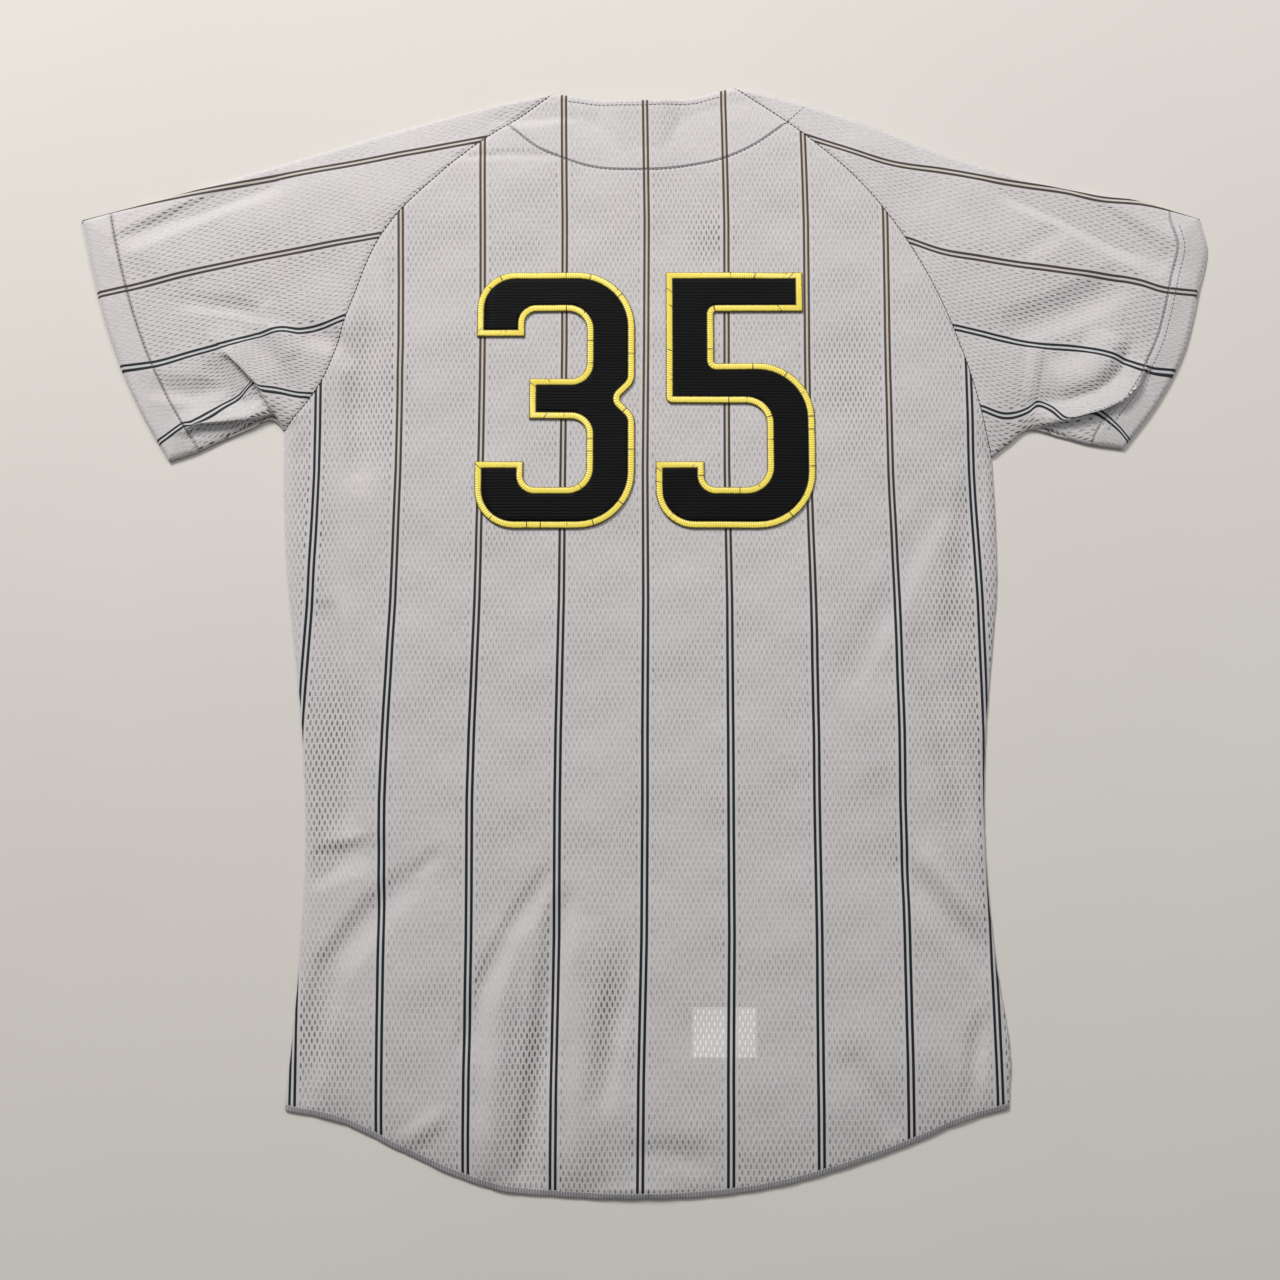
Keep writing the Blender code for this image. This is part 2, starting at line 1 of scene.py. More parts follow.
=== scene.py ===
"""Baseball jersey, laid flat with its back up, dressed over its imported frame.

Laid out as an add-on, with one operator for each group of pieces and one for the stage. Sizes on the
drawing below are in millimetres, +X to the right sleeve as seen from above and +Y to the collar.
Every sheet of cloth is a fine grid on the form of its solid, with its own folds, and carries its grain
as a UV map in millimetres, so that stripes and mesh holes run with the cloth.
"""
import math

import bmesh
import bpy
import numpy as np
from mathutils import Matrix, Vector


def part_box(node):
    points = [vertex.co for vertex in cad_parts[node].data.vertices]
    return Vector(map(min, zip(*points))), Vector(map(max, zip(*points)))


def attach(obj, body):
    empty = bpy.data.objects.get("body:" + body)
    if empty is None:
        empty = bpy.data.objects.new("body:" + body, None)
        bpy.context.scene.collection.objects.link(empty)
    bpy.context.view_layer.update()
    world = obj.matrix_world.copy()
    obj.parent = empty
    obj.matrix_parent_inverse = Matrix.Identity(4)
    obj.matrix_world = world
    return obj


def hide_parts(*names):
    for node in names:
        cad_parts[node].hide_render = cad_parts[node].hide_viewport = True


bl_info = {
    "name": "Baseball Jersey",
    "version": (1, 0, 0),
    "blender": (4, 5, 0),
    "location": "View3D > Sidebar > Jersey",
    "description": "Builds a pinstriped mesh baseball jersey that lies flat",
    "category": "Object",
}

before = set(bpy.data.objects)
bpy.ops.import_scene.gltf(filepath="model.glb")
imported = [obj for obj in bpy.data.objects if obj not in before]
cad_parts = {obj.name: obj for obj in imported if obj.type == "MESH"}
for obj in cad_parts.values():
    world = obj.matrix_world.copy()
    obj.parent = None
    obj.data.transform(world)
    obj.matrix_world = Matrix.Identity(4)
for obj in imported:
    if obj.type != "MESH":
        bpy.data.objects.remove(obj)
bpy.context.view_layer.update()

MM = 0.001

# Origin of the part's frame on the drawing
ORIGIN_X = 2.0
ORIGIN_Y = 21.6

# Cloth and layers
WALL = 1.1
TWILL_WALL = 1.0
SEAM_GAP = 0.25
LAYER_GAP = 0.3
EDGE_MIDDLE = 1.6
EDGE_ROUND = 3.5
EDGE_TOP = 3.2
CROWN_TOP = 8.2
CROWN_RUN = 100.0
NECK_LIFT = 2.4
CAD_WALL = 1.3

# How hard cloth is drawn together at a lap, and how far from it
LAP_PULL = 1.1
LAP_REACH = 7.0

# Where folds and waves die away beside the edge, and where the neck stays lifted
FOLD_FADE = 14.0
WAVE_FADE = 20.0
NECK_MIDDLE_Y = 430.0
NECK_REACH_X = 150.0
NECK_REACH_Y = 90.0

# Lengths that set how many points each grid has
SIDE_RUN = 505.0
BACK_SEAM_RUN = 345.0
BODY_WIDTH = 540.0
FRONT_SEAM_RUN = 300.0
FRONT_WIDTH = 260.0
SLEEVE_WIDTH = 270.0
SLEEVE_RUN = 300.0

# Cosine and sine of the lean of the sleeves' weave
SLEEVE_GRAIN_ALONG = 0.98
SLEEVE_GRAIN_LEAN = 0.19

# Angles in degrees past which an edge is shaded sharp
CLOTH_CREASE = 60.0
BUTTON_CREASE = 40.0

# Closure on the underside
PLACKET_HALF = 14.0
PLACKET_RAMP = 22.0
BACK_RAMP = 34.0
BACK_GAP = 0.7
BUTTON_THICK = 2.5
BUTTON_COUNT = 6
BUTTONS_END_Y = -290.0
BUTTONS_FADE = 60.0
FRONT_TAIL_SHORT = 8.0
PLACKET_STITCH = PLACKET_HALF + 14.0

# Holes of the knit
HOLE_HALF_WIDTH = 0.66
HOLE_HALF_LENGTH = 2.0

# Sewing
CUFF_HEM = 24.0
NECK_HEM = 6.0
TAIL_HEM = 4.2
STITCH_LENGTH = 2.5
STITCH_GAP = 0.9
THREAD_RADIUS = 0.3
SEAM_DIP = 0.5
SEAM_DIP_REACH = 3.0
NECK_DIP = 0.35
NECK_DIP_HALF = 1.5
CUFF_RISE = 0.45
NO_HEM = 99.0
THREAD_START = 0.4
CUFF_ROWS_APART = 5.0
NECK_ROW_END = 0.08
TWILL_UNDER_EDGING = 1.2
FACING_END = 0.03
FACING_BELOW_NECK = 2.5

# Numerals
NUMERAL_HEIGHT = 203.0
NUMERAL_WIDTH = 122.0
NUMERAL_STROKE_X = 37.0
NUMERAL_STROKE_Y = 32.0
NUMERAL_BOTTOM_Y = 84.0
NUMERAL_LEFT_X = -126.0
NUMERAL_RIGHT_X = 12.0
EDGING_THICK = 1.7
ARC_STEP_DEGREES = 9.0
TWILL_CUT = 5.0
RUN_STEP = 2.5

# Outlines on the drawing, x and y. Each runs along the edge it is named for.
NECK_EDGE = [(-69, 439), (-53, 437), (-33, 434), (-5, 433), (20, 434), (45, 436), (62, 441), (75, 444)]
FACING_EDGE = [(-101, 408), (-79, 390), (-63, 383), (-39, 375), (-5, 372), (36, 375), (67, 382),
               (93, 395), (113, 410)]
HEM_EDGE = [(-256, -342), (-216, -350), (-172, -370), (-130, -388), (-100, -397), (-60, -401), (0, -403),
            (60, -400), (105, -393), (143, -383), (201, -363), (235, -349), (266, -341)]

# A short row of sewing at the top of the right raglan seam
SHOULDER_ROW = [(111, 409), (118, 415), (125, 422), (131, 428)]

# Side and sleeve edges of each half, and the sleeve's stripes from the seam to the cuff
SIDES = {
    "left": {
        "seam": [(-69, 439), (-88, 424), (-124, 399), (-159, 369), (-203, 318), (-225, 262),
                 (-246, 200), (-274, 162)],
        "front_seam": [(-71, 405), (-110, 377), (-160, 332), (-200, 280), (-235, 222), (-274, 162)],
        "side": [(-274, 162), (-272, 108), (-267, 45), (-261, 0), (-252, -76), (-247, -142), (-249, -236),
                 (-256, -342)],
        "shoulder": [(-69, 439), (-117, 429), (-191, 408), (-285, 379), (-379, 350), (-440, 333)],
        "underarm": [(-274, 162), (-283, 171), (-300, 164), (-323, 154), (-342, 145), (-362, 138)],
        "cuff": [(-440, 333), (-430, 293), (-415, 243), (-402, 210), (-384, 174), (-362, 138)],
        "front_neck": [(-69, 439), (-72, 422), (-71, 405)],
        "neckline": [(-71, 405), (-63, 378), (-44, 354), (-16, 341), (14, 339)],
        "stripes": [
            [(-440, 334), (-417, 341), (-378, 350), (-316, 362), (-253, 374), (-190, 386), (-124, 399)],
            [(-428, 270), (-400, 275), (-344, 289), (-298, 299), (-235, 312), (-203, 318)],
            [(-408, 211), (-376, 214), (-341, 223), (-295, 236), (-276, 241), (-264, 240), (-249, 243),
             (-229, 251)],
            [(-371, 152), (-348, 167), (-324, 179), (-309, 189), (-299, 199), (-292, 197), (-278, 193),
             (-263, 190), (-250, 189)],
        ],
    },
    "right": {
        "seam": [(75, 444), (96, 429), (128, 405), (174, 362), (209, 314), (234, 265), (256, 203),
                 (270, 141)],
        "front_seam": [(75, 408), (112, 380), (163, 333), (204, 280), (238, 218), (270, 141)],
        "side": [(270, 141), (271, 92), (270, 38), (266, 0), (258, -76), (255, -149), (260, -236),
                 (268, -307), (266, -341)],
        "shoulder": [(75, 444), (120, 433), (175, 415), (246, 386), (336, 359), (394, 349), (441, 334)],
        "underarm": [(270, 141), (284, 152), (299, 163), (323, 158), (345, 152), (372, 148)],
        "cuff": [(441, 334), (445, 311), (437, 275), (421, 221), (400, 184), (372, 148)],
        "front_neck": [(75, 444), (77, 426), (75, 408)],
        "neckline": [(75, 408), (66, 380), (46, 355), (18, 341), (-14, 339)],
        "stripes": [
            [(131, 401), (160, 391), (196, 379), (237, 373), (308, 361), (335, 357), (363, 350), (398, 347),
             (441, 336)],
            [(210, 314), (237, 304), (265, 299), (329, 289), (360, 285), (391, 279), (403, 275), (438, 272)],
            [(240, 244), (257, 240), (280, 234), (303, 229), (342, 225), (368, 218), (389, 210), (415, 208)],
            [(262, 179), (281, 173), (299, 178), (306, 183), (315, 180), (326, 172), (352, 173), (366, 165),
             (376, 154)],
        ],
    },
}

# Where the back's stripes run: height, place of the centre stripe, and the drift of the third stripe to
# the left and to the right from an even pitch
STRIPE_DRIFT = [
    (430, 4.0, -3.0, -4.0),
    (330, 5.3, -2.0, -3.8),
    (230, 4.8, 0.9, -4.2),
    (130, 3.9, 2.1, -3.3),
    (30, 4.3, 0.0, -1.0),
    (-70, 3.7, -3.1, 0.6),
    (-120, 3.7, -3.9, 0.0),
    (-220, 3.0, -1.3, 1.2),
    (-320, 0.7, 1.8, 3.5),
    (-400, 0.0, 3.2, 4.6),
]

# Folds of the upper layer: height (a ridge is positive), half width to the left and to the right of the
# line, and the line's points. A small width makes the steep side of cloth that lies over itself.
FOLDS = [
    # Hanging folds in the tail
    (-4.8, 12, 16, [(-56, -190), (-64, -250), (-69, -300), (-76, -350), (-82, -420)]),
    (2.2, 16, 14, [(-98, -215), (-102, -300), (-114, -420)]),
    (2.0, 26, 14, [(-42, -205), (-42, -300), (-46, -390)]),
    (-2.2, 10, 15, [(-128, -300), (-114, -255), (-94, -212), (-66, -172)]),
    (-2.8, 14, 20, [(-250, -350), (-240, -290), (-226, -240), (-196, -200), (-166, -174)]),
    (-1.4, 8, 11, [(-190, -196), (-168, -176), (-148, -158)]),
    (-3.6, 12, 22, [(-262, -175), (-238, -166), (-222, -160), (-202, -154)]),
    (-2.4, 16, 12, [(-28, -340), (-20, -290), (-10, -235)]),
    (1.6, 12, 10, [(-178, -372), (-158, -357), (-140, -344)]),
    (-1.6, 16, 16, [(-8, -375), (22, -372), (50, -376)]),
    (-1.8, 14, 14, [(150, -303), (166, -328), (184, -356)]),
    (-1.8, 10, 10, [(247, -278), (242, -305), (240, -332)]),
    (-2.4, 20, 18, [(188, -162), (222, -203), (258, -244)]),
    (1.8, 14, 14, [(205, -160), (238, -198), (264, -226)]),
    # Waist and chest
    (-1.3, 14, 20, [(228, 104), (200, 50), (172, -5), (154, -34)]),
    (1.6, 16, 16, [(132, 12), (154, -45), (175, -102)]),
    (-2.0, 14, 16, [(206, 6), (226, -70), (244, -146)]),
    (-5.2, 15, 30, [(-236, 30), (-228, -50), (-214, -146)]),
    (-1.6, 18, 18, [(-264, 146), (-236, 60), (-230, -6)]),
    (-1.4, 16, 16, [(258, 134), (244, 60), (236, 4)]),
    (-2.4, 20, 16, [(-212, 246), (-217, 190), (-213, 122)]),
    (1.6, 14, 14, [(-203, 290), (-196, 240), (-184, 198)]),
    (-1.7, 12, 9, [(-114, 417), (-84, 417), (-46, 422)]),
    (-1.2, 8, 8, [(43, 430), (60, 433), (80, 436)]),
    (-0.8, 4, 5, [(-150, 384), (-105, 386), (-60, 384)]),
    # Left sleeve
    (-1.6, 12, 12, [(-334, 214), (-314, 192), (-300, 176)]),
    (2.2, 14, 14, [(-294, 260), (-280, 240), (-268, 218)]),
    (-2.2, 14, 14, [(-258, 240), (-232, 230), (-210, 204)]),
    (-3.2, 10, 16, [(-408, 314), (-370, 332), (-330, 350), (-284, 366)]),
    (-2.2, 14, 12, [(-378, 196), (-345, 191), (-310, 198)]),
    (-1.3, 12, 8, [(-356, 263), (-312, 258), (-272, 245)]),
    # Right sleeve
    (-5.8, 24, 20, [(288, 364), (338, 340), (412, 294)]),
    (-3.0, 20, 20, [(284, 240), (330, 257), (376, 282)]),
    (-0.8, 12, 12, [(294, 298), (312, 312), (334, 328)]),
    (1.4, 9, 9, [(306, 226), (304, 206), (302, 184)]),
    (4.0, 26, 14, [(322, 194), (346, 202), (360, 214), (369, 236)]),
]

# Folds where the cloth laps over itself, in the same form, each with its steep side to the right
LAPS = [
    (4.6, 24, 6.0, [(-322, 224), (-308, 211), (-296, 198), (-286, 182), (-274, 162)]),
    (5.0, 17, 6.0, [(-350, 161), (-338, 166), (-308, 169), (-278, 174)]),
    (5.0, 20, 6.0, [(300, 163), (318, 167), (336, 171), (356, 177), (371, 184), (383, 196), (391, 214)]),
]

# How dark the knit's holes are painted on flat cloth, how much darker as painted shade on slopes facing away
# from the key light, and listed areas where they are painted darker still: middle x and y, half width, half
# height and share
HOLES_SHOW = 0.23
HOLES_IN_SHADE = 1.0
DARKER_HOLE_AREAS = [
    (-232, -92, 42, 130, 0.55),
    (-250, 100, 26, 130, 0.35),
    (-236, -290, 40, 100, 0.40),
    (-76, -335, 30, 120, 0.35),
    (-20, -270, 26, 80, 0.25),
    (240, 0, 38, 190, 0.25),
    (165, 200, 44, 80, 0.25),
    (55, 318, 30, 42, 0.35),
    (-205, 190, 36, 100, 0.35),
    (-330, 275, 150, 120, 0.12),
    (340, 275, 150, 120, 0.12),
]

# Slow waves of loosely laid cloth: length, direction in degrees, height and phase
WAVES = [
    (61.0, 12.0, 0.16, 0.4),
    (47.0, 74.0, 0.12, 1.9),
    (83.0, 158.0, 0.20, 3.3),
    (38.0, 121.0, 0.09, 5.1),
    (29.0, 41.0, 0.06, 2.6),
    (118.0, 97.0, 0.26, 0.9),
]

# Lights, in metres and watts. The key's place also tells which slopes of the cloth get painted shade in their
# holes.
KEY_PLACE = (-1.35, 2.6, 2.1)
KEY_POWER = 119.0
FILL_PLACE = (1.2, 1.4, 1.9)
FILL_POWER = 18.0
SKY_STRENGTH = 0.19

# Camera, worked out from the even pitch of the stripes over the whole back
CAMERA_DISTANCE = 983.0
CAMERA_TILT = 7.4
CAMERA_FOCAL_PIXELS = 1300.0
IMAGE_PIXELS = 1280.0
SENSOR_WIDTH = 36.0


class JerseySettings(bpy.types.PropertyGroup):
    """Sizes and colours that a user would change."""
    cloth_colour: bpy.props.StringProperty(
        name="Cloth", description="Colour of the mesh cloth", default="#D1CDCD")
    # Colour of painted shade: in the holes, between the yarns and in sewn grooves
    shade_colour: bpy.props.StringProperty(
        name="Cloth holes", description="Colour inside the holes", default="#55514F")
    # Stripe colour near the shoulders, lightened by painted light; the lower stripe is the stripes' own
    # colour
    lit_upper_stripe: bpy.props.StringProperty(
        name="Upper stripe", description="Stripe colour near the shoulders", default="#4B4038")
    lower_stripe: bpy.props.StringProperty(
        name="Lower stripe", description="Stripe colour near the tail", default="#10121B")
    twill_colour: bpy.props.StringProperty(
        name="Twill", description="Colour of the numerals", default="#050506")
    edging_colour: bpy.props.StringProperty(
        name="Edging", description="Colour of the satin stitch", default="#FFEC62")
    stripe_pitch: bpy.props.FloatProperty(
        name="Stripe pitch", description="Distance between double stripes in mm", default=63.5, min=10.0)
    stripe_spread: bpy.props.FloatProperty(
        name="Line spread", description="Distance of each line from the middle of its pair in mm",
        default=1.9, min=0.5)
    line_width: bpy.props.FloatProperty(
        name="Line width", description="Width of one line in mm", default=2.1, min=0.2)
    hole_pitch: bpy.props.FloatProperty(
        name="Hole pitch", description="Distance between holes in a row in mm", default=3.97, min=1.0)
    row_pitch: bpy.props.FloatProperty(
        name="Row pitch", description="Distance between rows of holes in mm", default=4.35, min=1.0)
    back_step: bpy.props.FloatProperty(
        name="Back step", description="Distance between points of the back in mm", default=3.5, min=2.0)
    sleeve_step: bpy.props.FloatProperty(
        name="Sleeve step", description="Distance between points of the sleeves in mm", default=2.6, min=2.0)
    front_step: bpy.props.FloatProperty(
        name="Front step", description="Distance between points of the fronts in mm", default=5.0, min=2.0)
    edging_width: bpy.props.FloatProperty(
        name="Edging width", description="Width of the numerals' edging in mm", default=5.5, min=2.0)


def srgb(code):
    """Linear colour of an sRGB hex value."""
    parts = [int(code[i:i + 2], 16) / 255 for i in (1, 3, 5)]
    return tuple(c / 12.92 if c <= 0.04045 else ((c + 0.055) / 1.055)**2.4 for c in parts) + (1.0,)


def add(tree, kind, inputs=None, out=0, **settings):
    """Adds a shader node, fills its inputs with values or links, and returns one of its outputs."""
    node = tree.nodes.new("ShaderNode" + kind)
    for name, value in settings.items():
        setattr(node, name, value)
    for key, value in (inputs or {}).items():
        if isinstance(value, bpy.types.NodeSocket):
            tree.links.new(value, node.inputs[key])
        else:
            node.inputs[key].default_value = value
    return node.outputs[out] if node.outputs else None


def new_material(name):
    """The empty node tree of a new material."""
    material = bpy.data.materials.new(name)
    material.use_nodes = True
    material.node_tree.nodes.clear()
    return material.node_tree


def finish_material(tree, inputs):
    """Closes a material's node tree with its Principled shader and output."""
    shader = add(tree, "BsdfPrincipled", inputs)
    add(tree, "OutputMaterial", {"Surface": shader})


def curve_through(points, stations):
    """Points of a smooth curve through a table, at shares (0 to 1) of its chord length."""
    table = np.array(points, dtype=float)
    chords = np.linalg.norm(np.diff(table, axis=0), axis=1)
    at = np.concatenate([[0.0], np.cumsum(chords)])
    slopes = np.gradient(table, at, axis=0)
    wanted = np.asarray(stations, dtype=float) * at[-1]
    index = np.clip(np.searchsorted(at, wanted, side="right") - 1, 0, len(table) - 2)
    run = at[index + 1] - at[index]
    t = ((wanted - at[index]) / run)[:, None]
    run = run[:, None]
    start, end = table[index], table[index + 1]
    return (start * (2 * t**3 - 3 * t**2 + 1) + slopes[index] * run * (t**3 - 2 * t**2 + t)
            + end * (3 * t**2 - 2 * t**3) + slopes[index + 1] * run * (t**3 - t**2))


def shifted(points, distance):
    """A line moved to its left by a distance, seen along its direction."""
    along = np.gradient(points, axis=0)
    along /= np.linalg.norm(along, axis=1)[:, None]
    return points + distance * np.stack([-along[:, 1], along[:, 0]], axis=1)


def smooth(t):
    """Eased step from 0 to 1."""
    t = np.clip(t, 0, 1)
    return t * t * (3 - 2 * t)


def outline():
    """The garment's closed outline."""
    fine = np.linspace(0, 1, 25)
    left, right = SIDES["left"], SIDES["right"]
    runs = [curve_through(NECK_EDGE, fine), curve_through(right["shoulder"], fine),
            curve_through(right["cuff"], fine), curve_through(right["underarm"], fine)[::-1],
            curve_through(right["side"], fine), curve_through(HEM_EDGE, fine)[::-1],
            curve_through(left["side"], fine)[::-1], curve_through(left["underarm"], fine),
            curve_through(left["cuff"], fine)[::-1], curve_through(left["shoulder"], fine)[::-1]]
    return np.concatenate(runs)


OUTLINE = outline()


def line_distance(x, y, points):
    """Distance of points from a line, whether they lie to its left, and their share along it."""
    nearest = np.full(np.shape(x), 1e9)
    left = np.zeros(np.shape(x), dtype=bool)
    share = np.zeros(np.shape(x))
    steps = np.linalg.norm(np.diff(points, axis=0), axis=1)
    total = steps.sum()
    done = 0.0
    for start, end, step in zip(points, points[1:], steps):
        if step < 1e-9:
            continue
        dx, dy = end[0] - start[0], end[1] - start[1]
        t = np.clip(((x - start[0]) * dx + (y - start[1]) * dy) / step**2, 0, 1)
        away = np.hypot(x - start[0] - t * dx, y - start[1] - t * dy)
        closer = away < nearest
        nearest = np.where(closer, away, nearest)
        left = np.where(closer, dx * (y - start[1]) - dy * (x - start[0]) > 0, left)
        share = np.where(closer, (done + t * step) / total, share)
        done += step
    return nearest, left, share


def away_from(x, y, points, cuts=60):
    """Distance of points from the smooth curve through a table."""
    return line_distance(x, y, curve_through(points, np.linspace(0, 1, cuts)))[0]


def front_under(side, x, y, ramp):
    """Height of a front's underside: beside the closure it climbs over the buttons."""
    t = smooth((PLACKET_HALF + ramp - np.abs(x)) / ramp)
    lift = (BUTTON_THICK + LAYER_GAP) * smooth((y - BUTTONS_END_Y) / BUTTONS_FADE)
    if side == "right":
        lift = lift + CAD_WALL + LAYER_GAP
    return lift * t


def top_height(x, y):
    """Height of the upper layer's outer face, with its folds and its rounded edge."""
    edge = line_distance(x, y, np.vstack([OUTLINE, OUTLINE[:1]]))[0]
    share = np.clip(edge / CROWN_RUN, 0, 1)
    height = EDGE_TOP + (CROWN_TOP - EDGE_TOP) * (1 - (1 - share)**3)
    ridge, trough = np.zeros(np.shape(x)), np.zeros(np.shape(x))
    for rise, to_left, to_right, points in FOLDS + LAPS:
        away, left, along = line_distance(x, y, np.array(points, dtype=float))
        t = np.clip(away / np.where(left, to_left, to_right), 0, 1)
        ends = np.sqrt(np.clip(4 * along * (1 - along), 0, 1)) * 0.75 + 0.25
        fold = rise * (1 - t * t)**2 * ends * smooth(edge / FOLD_FADE)
        ridge, trough = np.maximum(ridge, fold), np.minimum(trough, fold)
    height = height + ridge + trough
    for length, degrees, rise, phase in WAVES:
        turn = math.radians(degrees)
        way = (x * math.cos(turn) + y * math.sin(turn)) * 2 * math.pi / length
        height = height + rise * np.sin(way + phase) * smooth(edge / WAVE_FADE)
    neck = np.clip(1 - np.hypot(x / NECK_REACH_X, (y - NECK_MIDDLE_Y) / NECK_REACH_Y), 0, 1)
    lowest = EDGE_TOP + NECK_LIFT * smooth(neck)
    closure = front_under("right", x, y, BACK_RAMP) + 2 * CAD_WALL + BACK_GAP
    height = np.maximum(np.maximum(height, lowest), closure)
    drop = 1 - np.clip(edge / EDGE_ROUND, 0, 1)
    return height - (height - EDGE_MIDDLE) * (1 - np.sqrt(1 - drop**2))


def on_top(plan, lift):
    """A line of plan points laid on the upper layer, at a height above it."""
    return np.column_stack([plan, top_height(plan[:, 0], plan[:, 1]) + lift])


def steps_for(length, step):
    """Number of even steps over a length."""
    return max(2, int(round(length / step)))


def edge_stations(length, step):
    """Shares across a sleeve, close together where the cloth turns round at its folded edges."""
    close = np.array([0.0, 0.25, 0.9, 2.0, 3.6]) / length
    inner = np.linspace(close[-1], 1 - close[-1], steps_for(length, step))
    return np.concatenate([close[:-1], inner, 1 - close[-2::-1]])


def in_frame(places):
    """Places in mm on the drawing, turned to metres in the part's frame."""
    return (places - np.array([ORIGIN_X, ORIGIN_Y, 0.0])) * MM


def new_object(name, mesh, crease=None):
    """An object for a mesh, shaded smooth, or sharp at edges past an angle in degrees."""
    mesh.shade_smooth()
    if crease:
        mesh.set_sharp_from_angle(angle=math.radians(crease))
    thing = bpy.data.objects.new(name, mesh)
    bpy.context.scene.collection.objects.link(thing)
    return thing


def sheet_object(name, places, wall, grain, marks, flip=False):
    """A sheet of cloth over a grid of places in mm, with its wall, grain (UV, in mm) and marks."""
    rows, columns = places.shape[:2]
    upper = in_frame(places)
    normal = np.cross(np.gradient(upper, axis=1), np.gradient(upper, axis=0))
    normal /= np.maximum(np.linalg.norm(normal, axis=2), 1e-12)[..., None]
    if flip:
        normal = -normal
    lower = upper - normal * (wall * MM)
    count = rows * columns
    index = np.arange(count).reshape(rows, columns)
    top = np.stack([index[:-1, :-1], index[:-1, 1:], index[1:, 1:], index[1:, :-1]], axis=-1)
    top = top.reshape(-1, 4)
    rim = np.concatenate([index[0, :-1], index[:-1, -1], index[-1, :0:-1], index[:0:-1, 0]])
    after = np.roll(rim, -1)
    side = np.stack([rim, rim + count, after + count, after], axis=-1)
    faces = np.concatenate([top, top[:, ::-1] + count, side])
    if flip:
        faces = faces[:, ::-1]
    mesh = bpy.data.meshes.new(name)
    points = np.concatenate([upper.reshape(-1, 3), lower.reshape(-1, 3)])
    mesh.from_pydata(points.tolist(), [], faces.tolist())
    corners = np.empty(len(mesh.loops), dtype=np.int32)
    mesh.loops.foreach_get("vertex_index", corners)
    uv = mesh.uv_layers.new(name="grain")
    uv.data.foreach_set("uv", grain.reshape(-1, 2)[corners % count].astype(np.float32).ravel())
    for mark, values in marks.items():
        layer = mesh.attributes.new(mark, "FLOAT", "POINT")
        layer.data.foreach_set("value", np.tile(values.reshape(-1), 2).astype(np.float32))
    return new_object(name, mesh, CLOTH_CREASE)


def dress(thing, material, nodes=()):
    """Gives a piece its material and its body, and hides the solids that it stands for."""
    thing.data.materials.clear()
    thing.data.materials.append(material)
    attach(thing, "root")
    if nodes:
        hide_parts(*nodes)


def side_line(side, seam_points, rows_below):
    """A panel's outer edge, from the hem up the side seam and on along a raglan seam."""
    turn = -1 if side == "left" else 1
    below = curve_through(SIDES[side]["side"], np.linspace(0, 1, rows_below + 1))[::-1]
    seam = shifted(seam_points, -turn * SEAM_GAP / 2)[::-1]
    return np.concatenate([below[:-1], seam])


def bow(line, share):
    """How far a line leaves the straight run between its ends."""
    return line - ((1 - share) * line[0] + share * line[-1])


def back_grain(x, y):
    """Grain of the back: distance from the centre stripe along the weave, and height."""
    height, centre, left, right = np.array(STRIPE_DRIFT, dtype=float)[::-1].T
    pitch = bpy.context.scene.jersey.stripe_pitch
    off = x - np.interp(y, height, centre)
    drift = np.where(off < 0, np.interp(y, height, left), np.interp(y, height, right))
    return np.stack([off - drift * np.abs(off) / (3 * pitch), y], axis=-1)


def back_places(step):
    """Grid of the back panel."""
    low, high = steps_for(SIDE_RUN, step), steps_for(BACK_SEAM_RUN, step)
    columns = steps_for(BODY_WIDTH, step)
    across = np.linspace(0, 1, columns + 1)
    stations = np.linspace(0, 1, high + 1)
    left = side_line("left", curve_through(SIDES["left"]["seam"], stations), low)
    right = side_line("right", curve_through(SIDES["right"]["seam"], stations), low)
    hem, neck = curve_through(HEM_EDGE, across), curve_through(NECK_EDGE, across)
    v = np.linspace(0, 1, len(left))[:, None, None]
    u = across[None, :, None]
    plan = (1 - u) * left[:, None] + u * right[:, None]
    plan = plan + (1 - v)**2 * bow(hem, u[0])[None] + v**3 * bow(neck, u[0])[None]
    x, y = plan[..., 0], plan[..., 1]
    height = top_height(x, y)
    seams = np.minimum(*[away_from(x, y, SIDES[side]["seam"]) for side in SIDES])
    height = height - SEAM_DIP * (1 - smooth(seams / SEAM_DIP_REACH))
    height = height - NECK_DIP * (np.abs(away_from(x, y, NECK_EDGE, 40) - NECK_HEM) < NECK_DIP_HALF)
    return np.dstack([plan, height]), away_from(x, y, HEM_EDGE, 80)


def facing_distance(x, y):
    """Distance below the facing's stitch line, negative inside the facing."""
    away, left, _ = line_distance(x, y, curve_through(FACING_EDGE, np.linspace(0, 1, 60)))
    return np.where(left, -away, away)


def body_stripe_darkness(x, y):
    """How dark a stripe is on the body: darker toward the tail and sides, lighter toward the shoulders as
    painted light.
    """
    return smooth((260 - y) / 330.0 + np.clip(np.abs(x) - 180, 0, 90) / 120.0)


def lapped(plan):
    """Draws cloth together at its laps, so that their steep sides stand upright."""
    result = plan.copy()
    for _, _, _, points in LAPS:
        away, left, along = line_distance(plan[..., 0], plan[..., 1], np.array(points, dtype=float))
        step = np.diff(np.array(points, dtype=float), axis=0)
        at = np.linspace(0, 1, len(step))
        ways = step / np.linalg.norm(step, axis=1)[:, None]
        way_x, way_y = np.interp(along, at, ways[:, 0]), np.interp(along, at, ways[:, 1])
        signed = np.where(left, away, -away)
        pull = -LAP_PULL * signed * np.exp(-(away / LAP_REACH)**2)
        pull = pull * smooth(8 * along) * smooth(8 * (1 - along))
        result = result + pull[..., None] * np.stack([-way_y, way_x], axis=-1)
    return result


